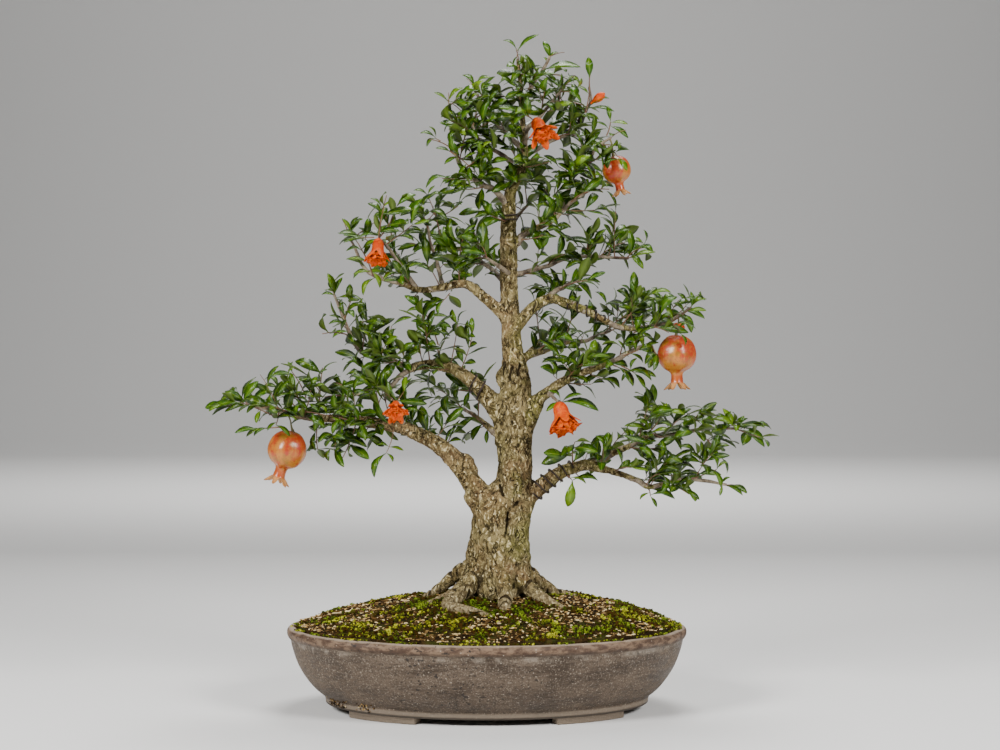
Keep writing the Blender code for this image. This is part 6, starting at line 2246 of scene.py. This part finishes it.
@dataclass
class Flowers:
    """Open flowers: a waxy calyx with pointed lobes, crumpled petals and a brush of stamens."""

    petals: Finish = PetalFinish()
    brush: Finish = StamenFinish()
    plans: dict[str, FlowerPlan] = field(default_factory=lambda: {
        "flower_top": FlowerPlan("crown_spur", (0.30, -0.62, -0.70), 31, 1.1, outer=7),
        "flower_high_left": FlowerPlan("left_high_spur", (-0.04, -0.44, -0.90), 31, 0.95, 0.86, 1.0, 6),
        "flower_low_left": FlowerPlan("left_low_spur", (0.05, -0.86, -0.50), 27, 1.3, 0.9, 0.9, 8),
        "flower_right": FlowerPlan("right_mid_spur", (0.24, -0.32, -0.92), 36, 1.0, 0.74, 1.3, 9),
    })
    star: Lobes = Lobes(6, (0.2, 0.6), (0.24, 0.58), 0.12, 1.3)
    inner: int = 8
    filaments: int = 26

    def calyx(self, spread: float) -> BMesh:
        """A bell one unit long, with its mouth towards +Z and its lobes spread like a star.

        Args:
            spread: How far the lobes open.

        Returns:
            The calyx with its tint.
        """
        outside = eased([(0, 0), (0.06, 0.0), (0.12, 0.05), (0.18, 0.14), (0.215, 0.27), (0.22, 0.42),
                         (0.24, 0.54)], 2)
        lobe = [(0.28, 0.63), (0.33, 0.72), (0.39, 0.80), (0.46, 0.89), (0.51, 0.97), (0.50, 0.98),
                (0.44, 0.92), (0.37, 0.84), (0.30, 0.75), (0.24, 0.66), (0.20, 0.56), (0.15, 0.46), (0, 0.42)]
        bm = turned(outside + lobe, self.star.count * 8)
        for vert in bm.verts:
            self.star.part(vert.co, spread)
        set_levels(bm, "tint", lambda vert: max(0.0, min(1.0, (vert.co.z - 0.5) * 1.6)))
        return bm

    def petal(self, rng: random.Random, pointed: bool) -> Mesh:
        """One crumpled petal, from its foot at the origin out along +Y.

        Args:
            rng: The flower's own draw.
            pointed: Whether it narrows to a tip, as the outer ones do.

        Returns:
            A thin closed mesh for scattering.
        """
        bm = bmesh.new()
        bmesh.ops.create_grid(bm, x_segments=6, y_segments=6, size=1.0)
        shift = rng.uniform(0, 50)
        for vert in bm.verts:
            t = (vert.co.y + 1) / 2
            half = 0.05 + 0.20 * math.sin(min(1.0, t * 1.05) * math.pi * 0.72)
            if pointed:
                half = 0.02 + 0.13 * math.sin(math.pi * min(1.0, 0.12 + 0.88 * t) ** 1.2)
            crumple = noise.noise(Vector((vert.co.x * 2.2, t * 3.2, shift))) * 0.13 * t
            drop = noise.noise(Vector((vert.co.x * 3.5, 9.1, shift))) * 0.12 * t
            vert.co = Vector((vert.co.x * half, 0.42 * t + drop, 0.10 * math.sin(t * 2.4) + crumple))
        bmesh.ops.solidify(bm, geom=bm.verts[:] + bm.edges[:] + bm.faces[:], thickness=0.012)
        return master_mesh("petal", bm)

    def add_petals(self, flower: Scatter, plan: FlowerPlan, rng: random.Random) -> None:
        """Sets a ring of upright petals in the calyx, and a ring of pointed ones outside it.

        Args:
            flower: The flower so far.
            plan: Its plan.
            rng: Its own draw.
        """
        for k in range(self.inner + plan.outer):
            outer = k >= self.inner
            angle = math.tau * (k - self.inner) / plan.outer if outer else math.tau * k / self.inner
            turn = Matrix.Rotation(angle, 4, "Z") @ Matrix.Rotation(rng.uniform(-0.3, 0.3), 4, "Z")
            tip_up = rng.uniform(0.30, 0.75) if outer else rng.uniform(0.75, 1.35)
            size = (2.0 - plan.calyx) * (0.95 if outer else 1.0)
            lean = Matrix.Rotation(tip_up, 4, "X") @ Matrix.Scale(size, 4)
            foot = Matrix.Translation((0, 0, (0.60 if outer else 0.48) * plan.calyx))
            flower.add(self.petal(rng, outer), foot @ turn @ lean, rng.uniform(0.75, 1.0))

    def add_brush(self, flower: Scatter, rng: random.Random) -> None:
        """Sets the stamens, each a filament with its anther.

        Args:
            flower: The flower so far.
            rng: Its own draw.
        """
        filaments = []
        for _ in range(self.filaments):
            turn, reach = rng.uniform(0, math.tau), 0.14 * math.sqrt(rng.random())
            foot = Vector((math.cos(turn) * reach * 0.6, math.sin(turn) * reach * 0.6, 0.45))
            tip = Vector((math.cos(turn) * reach, math.sin(turn) * reach, 0.74 + rng.uniform(-0.06, 0.06)))
            filaments.append(np.array([(*foot, 0.008), (*foot.lerp(tip, 0.5), 0.007), (*tip, 0.006)]))
            bead = bmesh.new()
            bmesh.ops.create_icosphere(bead, subdivisions=1, radius=0.024)
            flower.add(master_mesh("anther", bead), Matrix.Translation(tip), 0.5, 1)
        flower.add_mesh(tubes(filaments, 4), 1)

    def build(self) -> None:
        """Builds each flower."""
        for name, plan in self.plans.items():
            rng = random.Random(name)
            bm = self.calyx(plan.open)
            wide = plan.calyx * plan.girth
            bmesh.ops.scale(bm, verts=bm.verts, vec=(wide, wide, plan.calyx))
            flower = Scatter(bm)
            self.add_petals(flower, plan, rng)
            self.add_brush(flower, rng)
            hold, _, _ = point_on(limb_route(plan.limb), 1.0)
            posed(bm, hold, Vector(plan.way), plan.length * MM)
            finished(f"{name}_open", bm, [self.petals, self.brush], "petal", [name])


@dataclass
class Buds:
    """Closed flower buds on short stalks, each with its foot, its way and its length in millimetres."""

    petals: Finish = PetalFinish()
    plans: dict[str, tuple[Triple, Triple, float]] = field(default_factory=lambda: {
        "bud_top": ((104.5, 8, 606.5), (0.80, -0.10, 0.60), 18.0),
        "bud_right": ((183.5, -15, 384.0), (0.90, -0.30, -0.28), 15.0),
    })

    def build(self) -> None:
        """Builds each bud with the six seams of its calyx."""
        section = eased([(0, 0), (0.07, 0.0), (0.075, 0.08), (0.10, 0.18), (0.19, 0.36), (0.245, 0.60),
                         (0.20, 0.80), (0.10, 0.93), (0, 1.0)], 3)
        for name, (base, way, length) in self.plans.items():
            bm = turned(section, 36)
            for vert in bm.verts:
                if vert.co.z > 0.3:
                    pinch = 1 - 0.10 * (1 - abs(math.sin(3 * math.atan2(vert.co.y, vert.co.x)))) ** 3
                    vert.co.x *= pinch
                    vert.co.y *= pinch
            set_levels(bm, "tint", lambda vert: max(0.0, 0.7 - vert.co.z))
            posed(bm, Vector(base) * MM, Vector(way), length * MM)
            finished(f"{name}_closed", bm, [self.petals], "petal", [name])


@dataclass
class TrainingWires:
    """Round wire wound on limbs: the limb, its first and last share, the turns, and the radius in mm."""

    metal: Finish = WireFinish()
    windings: dict[str, tuple[str, float, float, float, float]] = field(default_factory=lambda: {
        "wire_right_low": ("right_low", 0.27, 0.84, 5.0, 1.0),
        "wire_left_mid": ("left_mid", 0.26, 0.44, 2.0, 1.0),
        "wire_right_high": ("right_high", 0.35, 0.55, 4.0, 0.8),
        "wire_trunk_top": ("trunk", 0.715, 0.730, 2.0, 0.8),
    })
    points_per_turn: int = 20
    swell: float = 1.05

    def build(self) -> None:
        """Winds each wire."""
        for name, (limb, first, last, turns, radius) in self.windings.items():
            route = smooth_route(limb_route(limb), 6)
            count = round(turns * self.points_per_turn)
            points = []
            for k in range(count + 1):
                centre, along, thick = point_on(route, first + (last - first) * k / count)
                away = radial(along, math.tau * turns * k / count)
                points.append((*(centre + away * (thick * self.swell + radius * 1.1 * MM)), radius * MM))
            bm = welded(opened(tubes([np.array(points)], 8)))
            finished(f"{name}_round", bm, [self.metal], "training_wire", [name])


# Studio


@dataclass
class Studio:
    """Pale floor, soft light and the camera at the photograph's angle.

    Attributes:
        lamps: Soft square lights: where each stands, where it points, its side and its watts.
        eye: Where the camera stands, level.
    """

    floor: Finish = StudioFinish()
    lamps: dict[str, tuple[Triple, Triple, float, float]] = field(default_factory=lambda: {
        "left_softbox": ((-1.5, -1.6, 1.35), (0, 0, 0.3), 0.7, 74.0),
        "right_softbox": ((1.5, -1.5, 1.35), (0, 0, 0.3), 0.7, 57.0),
        "top_softbox": ((0.2, 0.7, 2.1), (0, 0, 0.4), 0.9, 36.0),
        "backdrop_light": ((0, 2.6, 2.6), (0, 6.5, 1.2), 1.2, 160.0),
    })
    sky: Quad = (0.95, 0.97, 1.0, 1.0)
    sky_strength: float = 0.10
    eye: Triple = (0.0131, -1.9, 0.333)
    lens: float = 68.1
    sensor: float = 36.0

    def build_floor(self) -> None:
        """A floor that curves up to a backdrop."""
        bm = bmesh.new()
        bmesh.ops.create_grid(bm, x_segments=1, y_segments=1, size=6.0)
        back = [edge for edge in bm.edges if all(vert.co.y > 5 for vert in edge.verts)]
        turns = [math.radians(9 * (k + 0.5)) for k in range(10)]
        for move in (*((0, 0.5 * math.cos(turn), 0.5 * math.sin(turn)) for turn in turns), (0, 0, 6)):
            grown = bmesh.ops.extrude_edge_only(bm, edges=back)["geom"]
            back = [item for item in grown if isinstance(item, bmesh.types.BMEdge)]
            verts = [item for item in grown if isinstance(item, bmesh.types.BMVert)]
            bmesh.ops.translate(bm, verts=verts, vec=move)
        finished("studio_floor", bm, [self.floor], None)

    def build(self) -> None:
        """Sets up the floor, the lights, the world and the camera."""
        self.build_floor()
        for name, (place, aim, side, watts) in self.lamps.items():
            light = bpy.data.lights.new(name, "AREA")
            light.shape = "SQUARE"
            light.size = side
            light.energy = watts
            lamp = as_object(name, light)
            lamp.location = place
            lamp.rotation_euler = (Vector(aim) - Vector(place)).to_track_quat("-Z", "Y").to_euler()
        scene = bpy.context.scene
        scene.world = bpy.data.worlds.new("soft_sky")
        scene.world.use_nodes = True
        sky = scene.world.node_tree.nodes["Background"]
        sky.inputs["Color"].default_value = self.sky
        sky.inputs["Strength"].default_value = self.sky_strength
        data = bpy.data.cameras.new("camera")
        data.lens = self.lens
        data.sensor_width = self.sensor
        camera = as_object("camera", data)
        camera.location = self.eye
        camera.rotation_euler = (math.radians(90), 0, 0)
        scene.camera = camera


def main() -> None:
    """Builds and dresses every piece in order."""
    logging.basicConfig(level=logging.INFO, format="%(message)s")
    noise.seed_set(NOISE_SEED)
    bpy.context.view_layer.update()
    for part in (Pot, DrainScreens, Mound, Wood, Foliage, Fruits, Flowers, Buds, TrainingWires, Studio):
        part().build()


if __name__ == "__main__":
    main()
